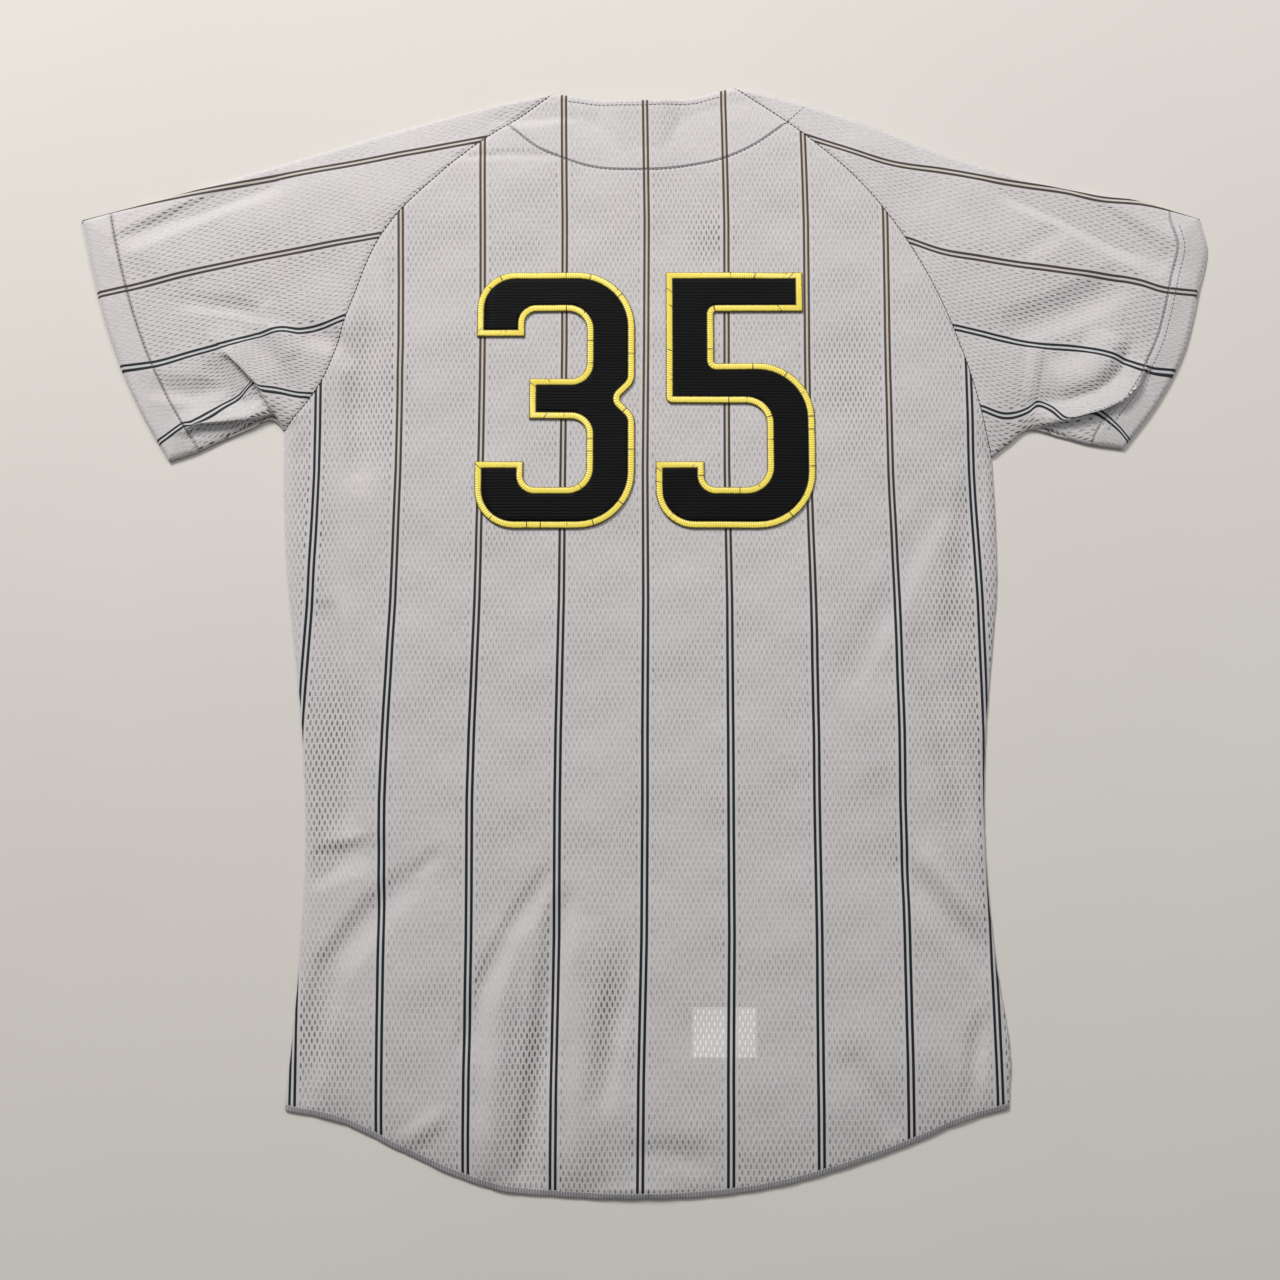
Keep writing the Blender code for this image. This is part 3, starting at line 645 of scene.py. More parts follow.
def painted_hole_shade(places):
    """How dark the holes are painted: painted shade on slopes facing away from the key light, and listed
    areas."""
    slope = np.cross(np.gradient(places, axis=1), np.gradient(places, axis=0))
    slope /= np.maximum(np.linalg.norm(slope, axis=2), 1e-9)[..., None]
    slope *= np.sign(slope[..., 2:] + 1e-9)
    lit = slope @ np.array(KEY_PLACE) / KEY_PLACE[2]
    x, y = places[..., 0], places[..., 1]
    share = HOLES_SHOW + HOLES_IN_SHADE * np.clip(1.0 - lit, -0.2, 1.0)
    for middle_x, middle_y, half_x, half_y, more in DARKER_HOLE_AREAS:
        away = np.hypot((x - middle_x) / half_x, (y - middle_y) / half_y)
        share = share + more * (1 - smooth(away))
    return np.clip(share, 0.05, 1.0)


class JERSEY_OT_back_panel(bpy.types.Operator):
    """Makes the back panel"""
    bl_idname = "jersey.back_panel"
    bl_label = "Back panel"

    def execute(self, context):
        places, hem_away = back_places(context.scene.jersey.back_step)
        x, y = places[..., 0], places[..., 1]
        facing = facing_distance(x, y)
        # The holes get painted shade from their slope to the key light
        marks = {"hem_mm": hem_away, "seam_mm": facing, "backing": smooth(-facing / 3.0),
                 # Stripes are drawn lighter toward the shoulders as painted light
                 "ink": body_stripe_darkness(x, y), "open": painted_hole_shade(places)}
        panel = sheet_object("back", places, WALL, back_grain(x, y), marks)
        dress(panel, bpy.data.materials["pinstriped_mesh"], ["back_panel"])
        return {"FINISHED"}


def sleeve_across(side, x, y):
    """Grain across the sleeve's upper layer: 0 on the first stripe, then one pitch for each stripe."""
    pitch = bpy.context.scene.jersey.stripe_pitch
    lines = []
    for points in SIDES[side]["stripes"]:
        table = curve_through(points, np.linspace(0, 1, 60))
        table = table[np.argsort(table[:, 0])]
        start, end = table[0], table[-1]
        fall = (table[8] - table[0])[1] / (table[8] - table[0])[0]
        rise = (table[-1] - table[-9])[1] / (table[-1] - table[-9])[0]
        line = np.interp(x, table[:, 0], table[:, 1])
        line = np.where(x < start[0], start[1] + (x - start[0]) * fall, line)
        lines.append(np.where(x > end[0], end[1] + (x - end[0]) * rise, line))
    first, last = lines[0], lines[-1]
    result = np.where(y > first, first - y, 0.0)
    for k, (high, low) in enumerate(zip(lines, lines[1:])):
        inside = (y <= high) & (y > low)
        result = np.where(inside, pitch * (k + (high - y) / np.maximum(high - low, 1.0)), result)
    return np.where(y <= last, pitch * (len(lines) - 1) + (last - y), result)


def front_sleeve_line(side, stations):
    """Where the sleeve's lower layer ends: a stretch of neckline, then the front raglan seam."""
    neck_share = 0.1
    neck = curve_through(SIDES[side]["front_neck"], np.clip(stations / neck_share, 0, 1))
    seam = curve_through(SIDES[side]["front_seam"], np.clip((stations - neck_share) / (1 - neck_share), 0, 1))
    return np.where((stations < neck_share)[:, None], neck, seam)


def sleeve_plan(side, start, stations, rows):
    """Plan of one layer of a sleeve: rows run from the seam to the cuff."""
    edges = SIDES[side]
    along = np.linspace(0, 1, rows + 1)
    shoulder, underarm = curve_through(edges["shoulder"], along), curve_through(edges["underarm"], along)
    cuff = curve_through(edges["cuff"], stations)
    s, v = along[:, None, None], stations[None, :, None]
    plan = (1 - v) * shoulder[:, None] + v * underarm[:, None]
    return plan + (1 - s) * bow(start, v[0])[None] + s * bow(cuff, v[0])[None]


def sleeve_places(side, step):
    """Grid round a sleeve, from the underarm over the top and back underneath, and its grain."""
    turn = 1 if side == "left" else -1
    stations = edge_stations(SLEEVE_WIDTH, step)
    rows = steps_for(SLEEVE_RUN, step)
    seam = shifted(curve_through(SIDES[side]["seam"], stations), -turn * SEAM_GAP / 2)
    front = shifted(front_sleeve_line(side, stations), -turn * SEAM_GAP / 2)
    over, under = sleeve_plan(side, seam, stations, rows), sleeve_plan(side, front, stations, rows)
    x, y = over[..., 0], over[..., 1]
    cuff_away = away_from(x, y, SIDES[side]["cuff"])
    seam_away = away_from(x, y, SIDES[side]["seam"])
    height = top_height(x, y) - SEAM_DIP * (1 - smooth(seam_away / SEAM_DIP_REACH))
    inner = smooth(line_distance(x, y, OUTLINE)[0] / EDGE_ROUND)
    height = height + CUFF_RISE * smooth((CUFF_HEM - cuff_away) / 2.0 + 0.5) * inner
    across = sleeve_across(side, x, y)
    low_edge = np.minimum(line_distance(under[..., 0], under[..., 1], OUTLINE)[0] / EDGE_ROUND, 1)
    low_height = EDGE_MIDDLE * (1 - np.sqrt(1 - (1 - low_edge)**2))
    low_height[:, 0] = height[:, 0]
    low_height[:, -1] = height[:, -1]
    run = np.linalg.norm(np.diff(under, axis=1), axis=2)
    low_across = across[:, :1] - np.concatenate([np.zeros((len(run), 1)), np.cumsum(run, axis=1)], axis=1)
    low_cuff = away_from(under[..., 0], under[..., 1], SIDES[side]["cuff"])
    upper = np.dstack([lapped(over), height])[:, ::-1]
    lower = np.dstack([under, low_height])[:, 1:]
    places = np.concatenate([upper, lower], axis=1)
    width = np.concatenate([across[:, ::-1], low_across[:, 1:]], axis=1)
    length = -turn * places[..., 0] * SLEEVE_GRAIN_ALONG - places[..., 1] * SLEEVE_GRAIN_LEAN
    cuff_mm = np.concatenate([cuff_away[:, ::-1], low_cuff[:, 1:]], axis=1)
    return places, np.stack([width, length], axis=-1), cuff_mm


class JERSEY_OT_sleeves(bpy.types.Operator):
    """Makes the two raglan sleeves, each one flattened tube"""
    bl_idname = "jersey.sleeves"
    bl_label = "Sleeves"

    def execute(self, context):
        for side in SIDES:
            places, grain, cuff_mm = sleeve_places(side, context.scene.jersey.sleeve_step)
            hem = smooth((CUFF_HEM - cuff_mm) / 1.5 + 0.5)
            marks = {
                "hem_mm": np.full(cuff_mm.shape, NO_HEM),
                "seam_mm": cuff_mm - CUFF_HEM,
                # Painted shade in the holes, weaker over the cuff's double hem
                "open": painted_hole_shade(places) * (1 - 0.7 * hem),
                "backing": hem,
                # Stripes are drawn lighter and browner toward the sleeve's top as painted light
                "ink": 0.35 + 0.65 * smooth((grain[..., 0] - 40.0) / 90.0),
            }
            sleeve = sheet_object(f"{side}_sleeve", places, WALL, grain, marks, flip=side == "right")
            dress(sleeve, bpy.data.materials["pinstriped_mesh"], [f"sleeve_{side}"])
        return {"FINISHED"}


def front_places(side, step):
    """Grid of a front panel."""
    turn = -1 if side == "left" else 1
    low, high = steps_for(SIDE_RUN, step), steps_for(FRONT_SEAM_RUN, step)
    seam = curve_through(SIDES[side]["front_seam"], np.linspace(0, 1, high + 1))
    outer = side_line(side, seam, low)
    columns = steps_for(FRONT_WIDTH, step)
    share = np.linspace(0, 1, columns + 1)[None, :]
    reach = -turn * PLACKET_HALF
    x = outer[:, :1] + (reach - outer[:, :1]) * share
    fine = np.linspace(0, 1, 61)
    hem = curve_through(HEM_EDGE, fine)
    neckline = curve_through(SIDES[side]["neckline"], fine)[::-turn]
    tail = FRONT_TAIL_SHORT * (1 - ((x[0] - reach) / (x[0, 0] - reach))**2)
    hem_y = np.interp(x[0], hem[:, 0], hem[:, 1]) + tail
    neck_y = np.interp(x[-1], neckline[:, 0], neckline[:, 1])
    up = np.linspace(0, 1, len(outer))[:, None]
    closure_y = hem_y[-1] + (neck_y[-1] - hem_y[-1]) * up
    y = outer[:, 1:] * (1 - share) + closure_y * share
    y = y + (1 - up)**2 * bow(hem_y, share[0]) + up**3 * bow(neck_y, share[0])
    hem_away = line_distance(x, y, np.stack([x[0], hem_y], axis=1))[0]
    under = front_under(side, x, y, PLACKET_RAMP)
    return np.dstack([x, y, under + WALL]), hem_away


class JERSEY_OT_fronts(bpy.types.Operator):
    """Makes the two fronts, which lie underneath"""
    bl_idname = "jersey.fronts"
    bl_label = "Fronts"

    def execute(self, context):
        settings = context.scene.jersey
        for side in SIDES:
            places, hem_away = front_places(side, settings.front_step)
            x, y = places[..., 0], places[..., 1]
            grain = np.stack([x + settings.stripe_pitch / 2, y], axis=-1)
            closure = smooth((PLACKET_STITCH - np.abs(x)) / 2.0)
            # Holes on the fronts get an even share of painted shade
            marks = {"hem_mm": hem_away, "seam_mm": np.abs(x) - PLACKET_STITCH, "backing": closure,
                     # Stripes are drawn lighter toward the shoulders as painted light
                     "ink": body_stripe_darkness(x, y), "open": np.full(x.shape, 0.4)}
            front = sheet_object(f"front_{side}_cloth", places, WALL, grain, marks, flip=side == "right")
            dress(front, bpy.data.materials["pinstriped_mesh"], [f"front_{side}"])
        return {"FINISHED"}


class JERSEY_OT_facing(bpy.types.Operator):
    """Makes the half-moon facing inside the back neck"""
    bl_idname = "jersey.facing"
    bl_label = "Back neck facing"

    def execute(self, context):
        across = np.linspace(0.0, 1.0, 61)
        neck = curve_through(NECK_EDGE, FACING_END + (1 - 2 * FACING_END) * across)
        neck = neck - [0.0, FACING_BELOW_NECK]
        edge = curve_through(FACING_EDGE, across)
        share = np.linspace(0, 1, 17)[:, None, None]
        plan = edge[None] * (1 - share) + neck[None] * share
        height = top_height(plan[..., 0], plan[..., 1]) - WALL - 2 * LAYER_GAP
        places = np.dstack([plan, height])
        marks = {"hem_mm": np.full(height.shape, NO_HEM)}
        facing = sheet_object("neck_facing", places, WALL, plan, marks)
        dress(facing, bpy.data.materials["plain_knit"], ["back_neck_facing"])
        return {"FINISHED"}


class JERSEY_OT_label(bpy.types.Operator):
    """Makes the blank label inside the tail"""
    bl_idname = "jersey.label"
    bl_label = "Tail label"

    def execute(self, context):
        low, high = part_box("tail_label")
        across = np.linspace(low[0], high[0], 12) / MM + ORIGIN_X
        along = np.linspace(low[1], high[1], 10) / MM + ORIGIN_Y
        x, y = np.meshgrid(across, along)
        wall = (high[2] - low[2]) / MM
        height = front_under("right", x, y, PLACKET_RAMP) + CAD_WALL + LAYER_GAP + wall
        places = np.dstack([x, y, height])
        label = sheet_object("label", places, wall, np.dstack([x, y]), {"hem_mm": np.full(x.shape, NO_HEM)})
        dress(label, bpy.data.materials["woven_label"], ["tail_label"])
        return {"FINISHED"}


def numeral_corners():
    """Corners of the two numerals, each x, y and corner radius, from the height, width and strokes."""
    w, h = NUMERAL_WIDTH, NUMERAL_HEIGHT
    a, b = NUMERAL_STROKE_X, NUMERAL_STROKE_Y
    tip = 52.0
    bar_low = 0.5 * (h - b)
    bar_high = bar_low + b
    bowl_top = 0.64 * h
    bowl_in = bowl_top - b
    waist = 13.0
    three = [(0, h, 30), (0, h - tip, 0), (a, h - tip, 0), (a, h - b, 9), (w - a, h - b, 15),
             (w - a, bar_high, 12), (a + 4, bar_high, 0), (a + 4, bar_low, 0), (w - a, bar_low, 12),
             (w - a, b, 15), (a, b, 9), (a, tip, 0), (0, tip, 0), (0, 0, 30), (w, 0, 44),
             (w, h / 2 - waist, 14), (w - waist, h / 2, 4), (w, h / 2 + waist, 14), (w, h, 44)]
    five = [(8, h, 0), (8, bowl_in, 5), (w - a, bowl_in, 16), (w - a, b, 16), (a, b, 9), (a, tip, 0),
            (0, tip, 0), (0, 0, 30), (w, 0, 44), (w, bowl_top, 44), (8 + a, bowl_top, 2),
            (8 + a, h - b, 2), (w - 8, h - b, 0), (w - 8, h, 0)]
    return three, five


def inset_outline(corners, distance):
    """Points of an anticlockwise outline moved inward by a distance, with its round corners as arcs."""
    points = []
    count = len(corners)
    for i, (x, y, radius) in enumerate(corners):
        here = np.array([x, y], dtype=float)
        before = np.array(corners[i - 1][:2], dtype=float)
        after = np.array(corners[(i + 1) % count][:2], dtype=float)
        into = (here - before) / np.linalg.norm(here - before)
        out = (after - here) / np.linalg.norm(after - here)
        cross = into[0] * out[1] - into[1] * out[0]
        angle = math.atan2(cross, float(np.dot(into, out)))
        sign = 1.0 if angle > 0 else -1.0
        left_in = np.array([-into[1], into[0]])
        bent = max(radius - sign * distance, 0.0)
        mitre = (left_in + np.array([-out[1], out[0]])) / (1 + float(np.dot(into, out)))
        corner = here + distance * mitre
        steps = max(1, round(math.degrees(abs(angle)) / ARC_STEP_DEGREES)) if radius > 0 else 0
        if steps == 0:
            points.append(corner)
            continue
        centre = corner - into * bent * math.tan(abs(angle) / 2) + sign * bent * left_in
        first = -sign * left_in
        for k in range(steps + 1):
            turn = angle * k / steps
            arm = np.array([first[0] * math.cos(turn) - first[1] * math.sin(turn),
                            first[0] * math.sin(turn) + first[1] * math.cos(turn)])
            points.append(centre + bent * arm)
    return np.array(points)


def refined(lines, step):
    """Closed lines with matching points, all cut at the same shares into short runs."""
    loops = [np.vstack([line, line[:1]]) for line in lines]
    longest = np.max([np.linalg.norm(np.diff(loop, axis=0), axis=1) for loop in loops], axis=0)
    result = []
    for loop in loops:
        cuts = []
        for start, end, length in zip(loop, loop[1:], longest):
            count = max(1, int(math.ceil(length / step)))
            cuts.append(start + (end - start) * (np.arange(count) / count)[:, None])
        result.append(np.concatenate(cuts))
    return result


def drape(mesh_data, lift):
    """Lays a flat bmesh, drawn in mm, on the back at a height above it, in the part's frame."""
    x = np.array([v.co.x for v in mesh_data.verts])
    y = np.array([v.co.y for v in mesh_data.verts])
    height = top_height(x, y)
    for vertex, level in zip(mesh_data.verts, height):
        vertex.co = Vector((vertex.co.x - ORIGIN_X, vertex.co.y - ORIGIN_Y, level + lift + vertex.co.z)) * MM


def make_twill(name, corners, offset):
    """A numeral's twill: its outline filled, cut into small cells, laid on the back and thickened."""
    inset = bpy.context.scene.jersey.edging_width - TWILL_UNDER_EDGING
    line = inset_outline(corners, inset) + offset
    mesh_data = bmesh.new()
    mesh_data.faces.new([mesh_data.verts.new((x, y, 0.0)) for x, y in line])
    low, high = line.min(axis=0), line.max(axis=0)
    for axis, normal in ((0, (1, 0, 0)), (1, (0, 1, 0))):
        for place in np.arange(low[axis] + TWILL_CUT, high[axis], TWILL_CUT):
            point = (place, 0, 0) if axis == 0 else (0, place, 0)
            geometry = list(mesh_data.verts) + list(mesh_data.edges) + list(mesh_data.faces)
            bmesh.ops.bisect_plane(mesh_data, geom=geometry, plane_co=point, plane_no=normal)
    drape(mesh_data, LAYER_GAP + TWILL_WALL)
    mesh = bpy.data.meshes.new(name)
    mesh_data.to_mesh(mesh)
    mesh_data.free()
    twill = new_object(name, mesh)
    solidify = twill.modifiers.new("wall", "SOLIDIFY")
    solidify.thickness = TWILL_WALL * MM
    solidify.offset = -1.0
    bpy.ops.object.select_all(action="DESELECT")
    bpy.context.view_layer.objects.active = twill
    bpy.ops.object.modifier_apply(modifier="wall")
    return twill


def make_edging(name, corners, offset):
    """A numeral's satin-stitched edging: a rounded strip all round it."""
    width = bpy.context.scene.jersey.edging_width
    shares = (0.0, 0.0, 0.07, 0.2, 0.4, 0.6, 0.8, 0.93, 1.0, 1.0)
    heights = (0.0, 0.55, 0.8, 0.94, 1.0, 1.0, 0.94, 0.8, 0.55, 0.0)
    lines = refined([inset_outline(corners, width * t) + offset for t in shares], RUN_STEP)
    middle = lines[4]
    run = np.concatenate([[0.0], np.cumsum(np.linalg.norm(np.diff(middle, axis=0), axis=1))])
    around = run[-1] + np.linalg.norm(middle[0] - middle[-1])
    places = in_frame(np.stack([on_top(line, LAYER_GAP + EDGING_THICK * height)
                                for line, height in zip(lines, heights)]))
    rings, count = places.shape[:2]
    index = np.arange(rings * count).reshape(rings, count)
    after = np.roll(index, -1, axis=1)
    faces = np.stack([index, after, np.roll(after, -1, axis=0), np.roll(index, -1, axis=0)], axis=-1)
    mesh = bpy.data.meshes.new(name)
    mesh.from_pydata(places.reshape(-1, 3).tolist(), [], faces.reshape(-1, 4).tolist())
    ahead = np.append(run[1:], around)
    lengths = np.stack([run, ahead, ahead, run], axis=-1)
    uv = mesh.uv_layers.new(name="grain")
    values = []
    for ring in range(rings):
        here, there = shares[ring] * width, shares[(ring + 1) % rings] * width
        across = np.tile([here, here, there, there], (count, 1))
        values.append(np.stack([lengths, across], axis=-1))
    uv.data.foreach_set("uv", np.concatenate(values).astype(np.float32).ravel())
    return new_object(name, mesh, CLOTH_CREASE)


class JERSEY_OT_numerals(bpy.types.Operator):
    """Makes the sewn-on numerals"""
    bl_idname = "jersey.numerals"
    bl_label = "Numerals"

    def execute(self, context):
        starts = {"left": NUMERAL_LEFT_X, "right": NUMERAL_RIGHT_X}
        for side, corners in zip(starts, numeral_corners()):
            offset = np.array([starts[side], NUMERAL_BOTTOM_Y])
            twill = make_twill(f"{side}_numeral", corners, offset)
            dress(twill, bpy.data.materials["ribbed_twill"], [f"numeral_{side}_twill"])
            edging = make_edging(f"{side}_numeral_edge", corners, offset)
            dress(edging, bpy.data.materials["satin_stitch"], [f"numeral_{side}_edging"])
        return {"FINISHED"}


def thread_stitches(name, lines, length, gap, radius):
    """A row of stitches along each line of places in mm, as one mesh of small rounded runs of thread."""
    sides = 5
    angles = np.arange(sides) * 2 * math.pi / sides
    rings = ((0.0, 0.55, -0.2), (0.25, 1.0, 0.5), (0.75, 1.0, 0.5), (1.0, 0.55, -0.2))
    vertices, faces = [], []
    for places in lines:
        steps = np.linalg.norm(np.diff(places, axis=0), axis=1)
        at = np.concatenate([[0.0], np.cumsum(steps)])
        for start in np.arange(THREAD_START, at[-1] - length, length + gap):
            ends = [np.array([np.interp(d, at, places[:, k]) for k in range(3)])
                    for d in (start, start + length)]
            way = (ends[1] - ends[0]) / max(np.linalg.norm(ends[1] - ends[0]), 1e-9)
            side = np.cross(way, (0.0, 0.0, 1.0))
            side /= max(np.linalg.norm(side), 1e-9)
            up = np.cross(side, way)
            base = len(vertices)
            for share, size, lift in rings:
                centre = ends[0] + (ends[1] - ends[0]) * share + up * radius * lift
                for angle in angles:
                    vertices.append(centre + radius * size * (side * math.cos(angle) + up * math.sin(angle)))
            for ring in range(3):
                for k in range(sides):
                    j = (k + 1) % sides
                    low, high = base + ring * sides, base + (ring + 1) * sides
                    faces.append((low + k, high + k, high + j, low + j))
            faces.append(tuple(base + k for k in range(sides)))
            faces.append(tuple(base + 3 * sides + k for k in range(sides - 1, -1, -1)))
    mesh = bpy.data.meshes.new(name)
    mesh.from_pydata(in_frame(np.array(vertices)).tolist(), [], faces)
    return new_object(name, mesh)


def cuff_line(side, away):
    """A line across the sleeve's upper layer, at a distance from the cuff."""
    stations = np.linspace(0.012, 0.988, 60)
    cuff = curve_through(SIDES[side]["cuff"], stations)
    turn = 1 if side == "left" else -1
    return shifted(cuff, turn * away)


class JERSEY_OT_sewing(bpy.types.Operator):
    """Makes the stitch rows of seams, hems, neck and facing"""
    bl_idname = "jersey.sewing"
    bl_label = "Sewing"

    def execute(self, context):
        fine = np.linspace(0.0, 1.0, 80)
        seams = [on_top(curve_through(SIDES[side]["seam"], fine), -0.25) for side in SIDES]
        facing = [on_top(curve_through(FACING_EDGE, fine), 0.05)]
        neck = curve_through(NECK_EDGE, NECK_ROW_END + (1 - 2 * NECK_ROW_END) * fine) - [0.0, NECK_HEM]
        rows = {
            "raglan_stitches": (seams, "dark_thread"),
            "facing_stitches": (facing, "grey_thread"),
            "left_cuff_stitches": ([on_top(cuff_line("left", CUFF_HEM), 0.2)], "dark_thread"),
            "right_cuff_stitches": ([on_top(cuff_line("right", CUFF_HEM), 0.15),
                                     on_top(cuff_line("right", CUFF_HEM - CUFF_ROWS_APART), 0.5)],
                                    "grey_thread"),
            "shoulder_stitches": ([on_top(np.array(SHOULDER_ROW), 0.05)], "grey_thread"),
            "neck_stitches": ([on_top(neck, -0.2)], "pale_thread"),
        }
        for name, (lines, thread) in rows.items():
            row = thread_stitches(name, lines, STITCH_LENGTH, STITCH_GAP, THREAD_RADIUS)
            dress(row, bpy.data.materials[thread])
        return {"FINISHED"}


def button_profile(radius, thick):
    """Half section of a button from the middle of its back to the middle of its dished face."""
    rim = radius * 0.76
    return [(0.0, thick), (radius * 0.9, thick), (radius * 0.975, thick * 0.93), (radius, thick * 0.72),
            (radius, thick * 0.3), (radius * 0.975, thick * 0.1), (radius * 0.91, 0.0), (rim, 0.0),
            (rim * 0.93, thick * 0.16), (rim * 0.85, thick * 0.22), (0.0, thick * 0.22)]


class JERSEY_OT_buttons(bpy.types.Operator):
    """Makes the buttons of the closure, face down"""
    bl_idname = "jersey.buttons"
    bl_label = "Buttons"

    def execute(self, context):
        sides = 40
        for number in range(1, BUTTON_COUNT + 1):
            low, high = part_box(f"button_{number}")
            centre = (low + high) / 2
            radius, thick = (high[0] - low[0]) / 2, high[2] - low[2]
            mesh_data = bmesh.new()
            rings = []
            for r, z in button_profile(radius, thick):
                if r == 0.0:
                    rings.append([mesh_data.verts.new((centre[0], centre[1], z))])
                    continue
                rings.append([mesh_data.verts.new((centre[0] + r * math.cos(2 * math.pi * k / sides),
                                                   centre[1] + r * math.sin(2 * math.pi * k / sides), z))
                              for k in range(sides)])
            for ring, after in zip(rings, rings[1:]):
                for k in range(sides):
                    j = (k + 1) % sides
                    corners = [ring[k % len(ring)], ring[j % len(ring)], after[j % len(after)],
                               after[k % len(after)]]
                    mesh_data.faces.new(list(dict.fromkeys(corners)))
            bmesh.ops.recalc_face_normals(mesh_data, faces=mesh_data.faces)
            mesh = bpy.data.meshes.new(f"button_{number}_disc")
            mesh_data.to_mesh(mesh)
            mesh_data.free()
            button = new_object(mesh.name, mesh, BUTTON_CREASE)
            dress(button, bpy.data.materials["moulded_button"], [f"button_{number}"])
        return {"FINISHED"}


def mesh_material(settings):
    """Polyester athletic mesh, warp knitted: matt, with rows of long oval holes and knitted stripes."""
    tree = new_material("pinstriped_mesh")
    uv = add(tree, "UVMap", uv_map="grain")
    place = add(tree, "TexCoord", out=3)
    # The knit isn't quite even, so its rows wander by a fraction of a millimetre
    wander = add(tree, "TexNoise", {"Vector": uv, "Scale": 0.09, "Detail": 1.0}, out=1)
    wander = add(tree, "VectorMath", {0: wander, 1: (0.5, 0.5, 0.5)}, operation="SUBTRACT")
    wander = add(tree, "VectorMath", {0: wander, 1: (0.9, 1.6, 0.0)}, operation="MULTIPLY")
    knit = add(tree, "VectorMath", {0: uv, 1: wander})
    u = add(tree, "SeparateXYZ", {0: uv}, out=0)
    hole_u, hole_v = [add(tree, "SeparateXYZ", {0: knit}, out=k) for k in (0, 1)]
    ink, hem, backing, hole_shade_share, seam = [
        add(tree, "Attribute", out=2, attribute_name=mark)
        for mark in ("ink", "hem_mm", "backing", "open", "seam_mm")]
    # Distance from the middle of the nearest pair of lines, which are narrower near the shoulders
    narrow = add(tree, "MapRange", {0: ink, 3: 0.88, 4: 1.0})
    stripe = add(tree, "Math", {0: u, 1: settings.stripe_pitch / 2}, operation="PINGPONG")
    stripe = add(tree, "Math", {0: stripe, 1: narrow}, operation="DIVIDE")
    from_line = add(tree, "Math", {0: stripe, 1: settings.stripe_spread}, operation="SUBTRACT")
    from_line = add(tree, "Math", {0: from_line}, operation="ABSOLUTE")
    half = settings.line_width / 2
    line = add(tree, "MapRange", {0: from_line, 1: half - 0.25, 2: half + 0.25, 3: 1.0, 4: 0.0},
               interpolation_type="SMOOTHSTEP")
    between = add(tree, "MapRange", {0: stripe, 1: 0.6, 2: 1.2, 3: 1.0, 4: 0.0})
    # The knit beside a pair has no holes, and the first row along it shows most
    free = add(tree, "Math", {0: u, 1: settings.stripe_pitch / 2}, operation="PINGPONG")
    holed = add(tree, "MapRange", {0: free, 1: 4.5, 2: 5.0, 3: 0.0, 4: 1.0})
    first = add(tree, "MapRange", {0: free, 1: 6.9, 2: 7.3, 3: 1.7, 4: 1.0})
    # Holes in rows, every other row half a pitch along
    row = add(tree, "Math", {0: hole_v, 1: settings.row_pitch}, operation="DIVIDE")
    shift = add(tree, "Math", {0: row}, operation="FLOOR")
    shift = add(tree, "Math", {0: shift, 1: 0.5}, operation="MULTIPLY")
    column = add(tree, "Math", {0: hole_u, 1: settings.hole_pitch}, operation="DIVIDE")
    column = add(tree, "Math", {0: column, 1: shift}, operation="ADD")
    away = []
    for part, size in ((column, settings.hole_pitch / HOLE_HALF_WIDTH),
                       (row, settings.row_pitch / HOLE_HALF_LENGTH)):
        part = add(tree, "Math", {0: part}, operation="FRACT")
        part = add(tree, "Math", {0: part, 1: 0.5}, operation="SUBTRACT")
        away.append(add(tree, "Math", {0: part, 1: size}, operation="MULTIPLY"))
    away = add(tree, "CombineXYZ", {0: away[0], 1: away[1]})
    away = add(tree, "VectorMath", {0: away}, out=1, operation="LENGTH")
    hole = add(tree, "MapRange", {0: away, 1: 0.6, 2: 1.25, 3: 1.0, 4: 0.0},
               interpolation_type="SMOOTHSTEP")
    hole = add(tree, "Math", {0: hole, 1: holed}, operation="MULTIPLY")
    # The overlocked tail hem has no holes, only thread across it
    clear = add(tree, "MapRange", {0: hem, 1: TAIL_HEM - 0.4, 2: TAIL_HEM + 0.2})
    hole = add(tree, "Math", {0: hole, 1: clear}, operation="MULTIPLY")
    # The holes are painted with shade colour: paler where a second layer lies close behind, darker on slopes
    # facing away from the key light and in listed areas
    dark = add(tree, "MapRange", {0: backing, 3: 1.0, 4: 0.6})
    uneven = add(tree, "TexNoise", {"Vector": uv, "Scale": 0.022, "Detail": 2.0})
    uneven = add(tree, "MapRange", {0: uneven, 1: 0.3, 2: 0.7, 3: 0.65, 4: 1.35})
    for share in (hole_shade_share, uneven, first, hole):
        dark = add(tree, "Math", {0: dark, 1: share}, operation="MULTIPLY")
    hole_shade_mix = add(tree, "Math", {0: dark, 1: 0.9}, operation="MINIMUM")
    # Bare cloth has faint warm and cool patches
    patch = add(tree, "TexNoise", {"Vector": place, "Scale": 26.0, "Detail": 3.0})
    patch = add(tree, "MapRange", {0: patch, 1: 0.38, 2: 0.62})
    cloth = srgb(settings.cloth_colour)
    warm = (cloth[0] * 1.008, cloth[1] * 0.988, cloth[2] * 0.995, 1.0)
    cool = (cloth[0] * 0.985, cloth[1] * 1.0, cloth[2] * 0.99, 1.0)
    colour = add(tree, "Mix", {0: patch, 6: warm, 7: cool}, out=2, data_type="RGBA")
    # Yarns run along the grain and catch the light unevenly: the low parts between them are painted darker as
    # shade
    yarn = add(tree, "VectorMath", {0: knit, 1: (1.25, 0.22, 1.0)}, operation="MULTIPLY")
    yarn = add(tree, "TexNoise", {"Vector": yarn, "Scale": 1.0, "Detail": 2.0})
    yarn_shade = add(tree, "MapRange", {0: yarn, 1: 0.35, 2: 0.62, 3: 0.16, 4: 0.0})
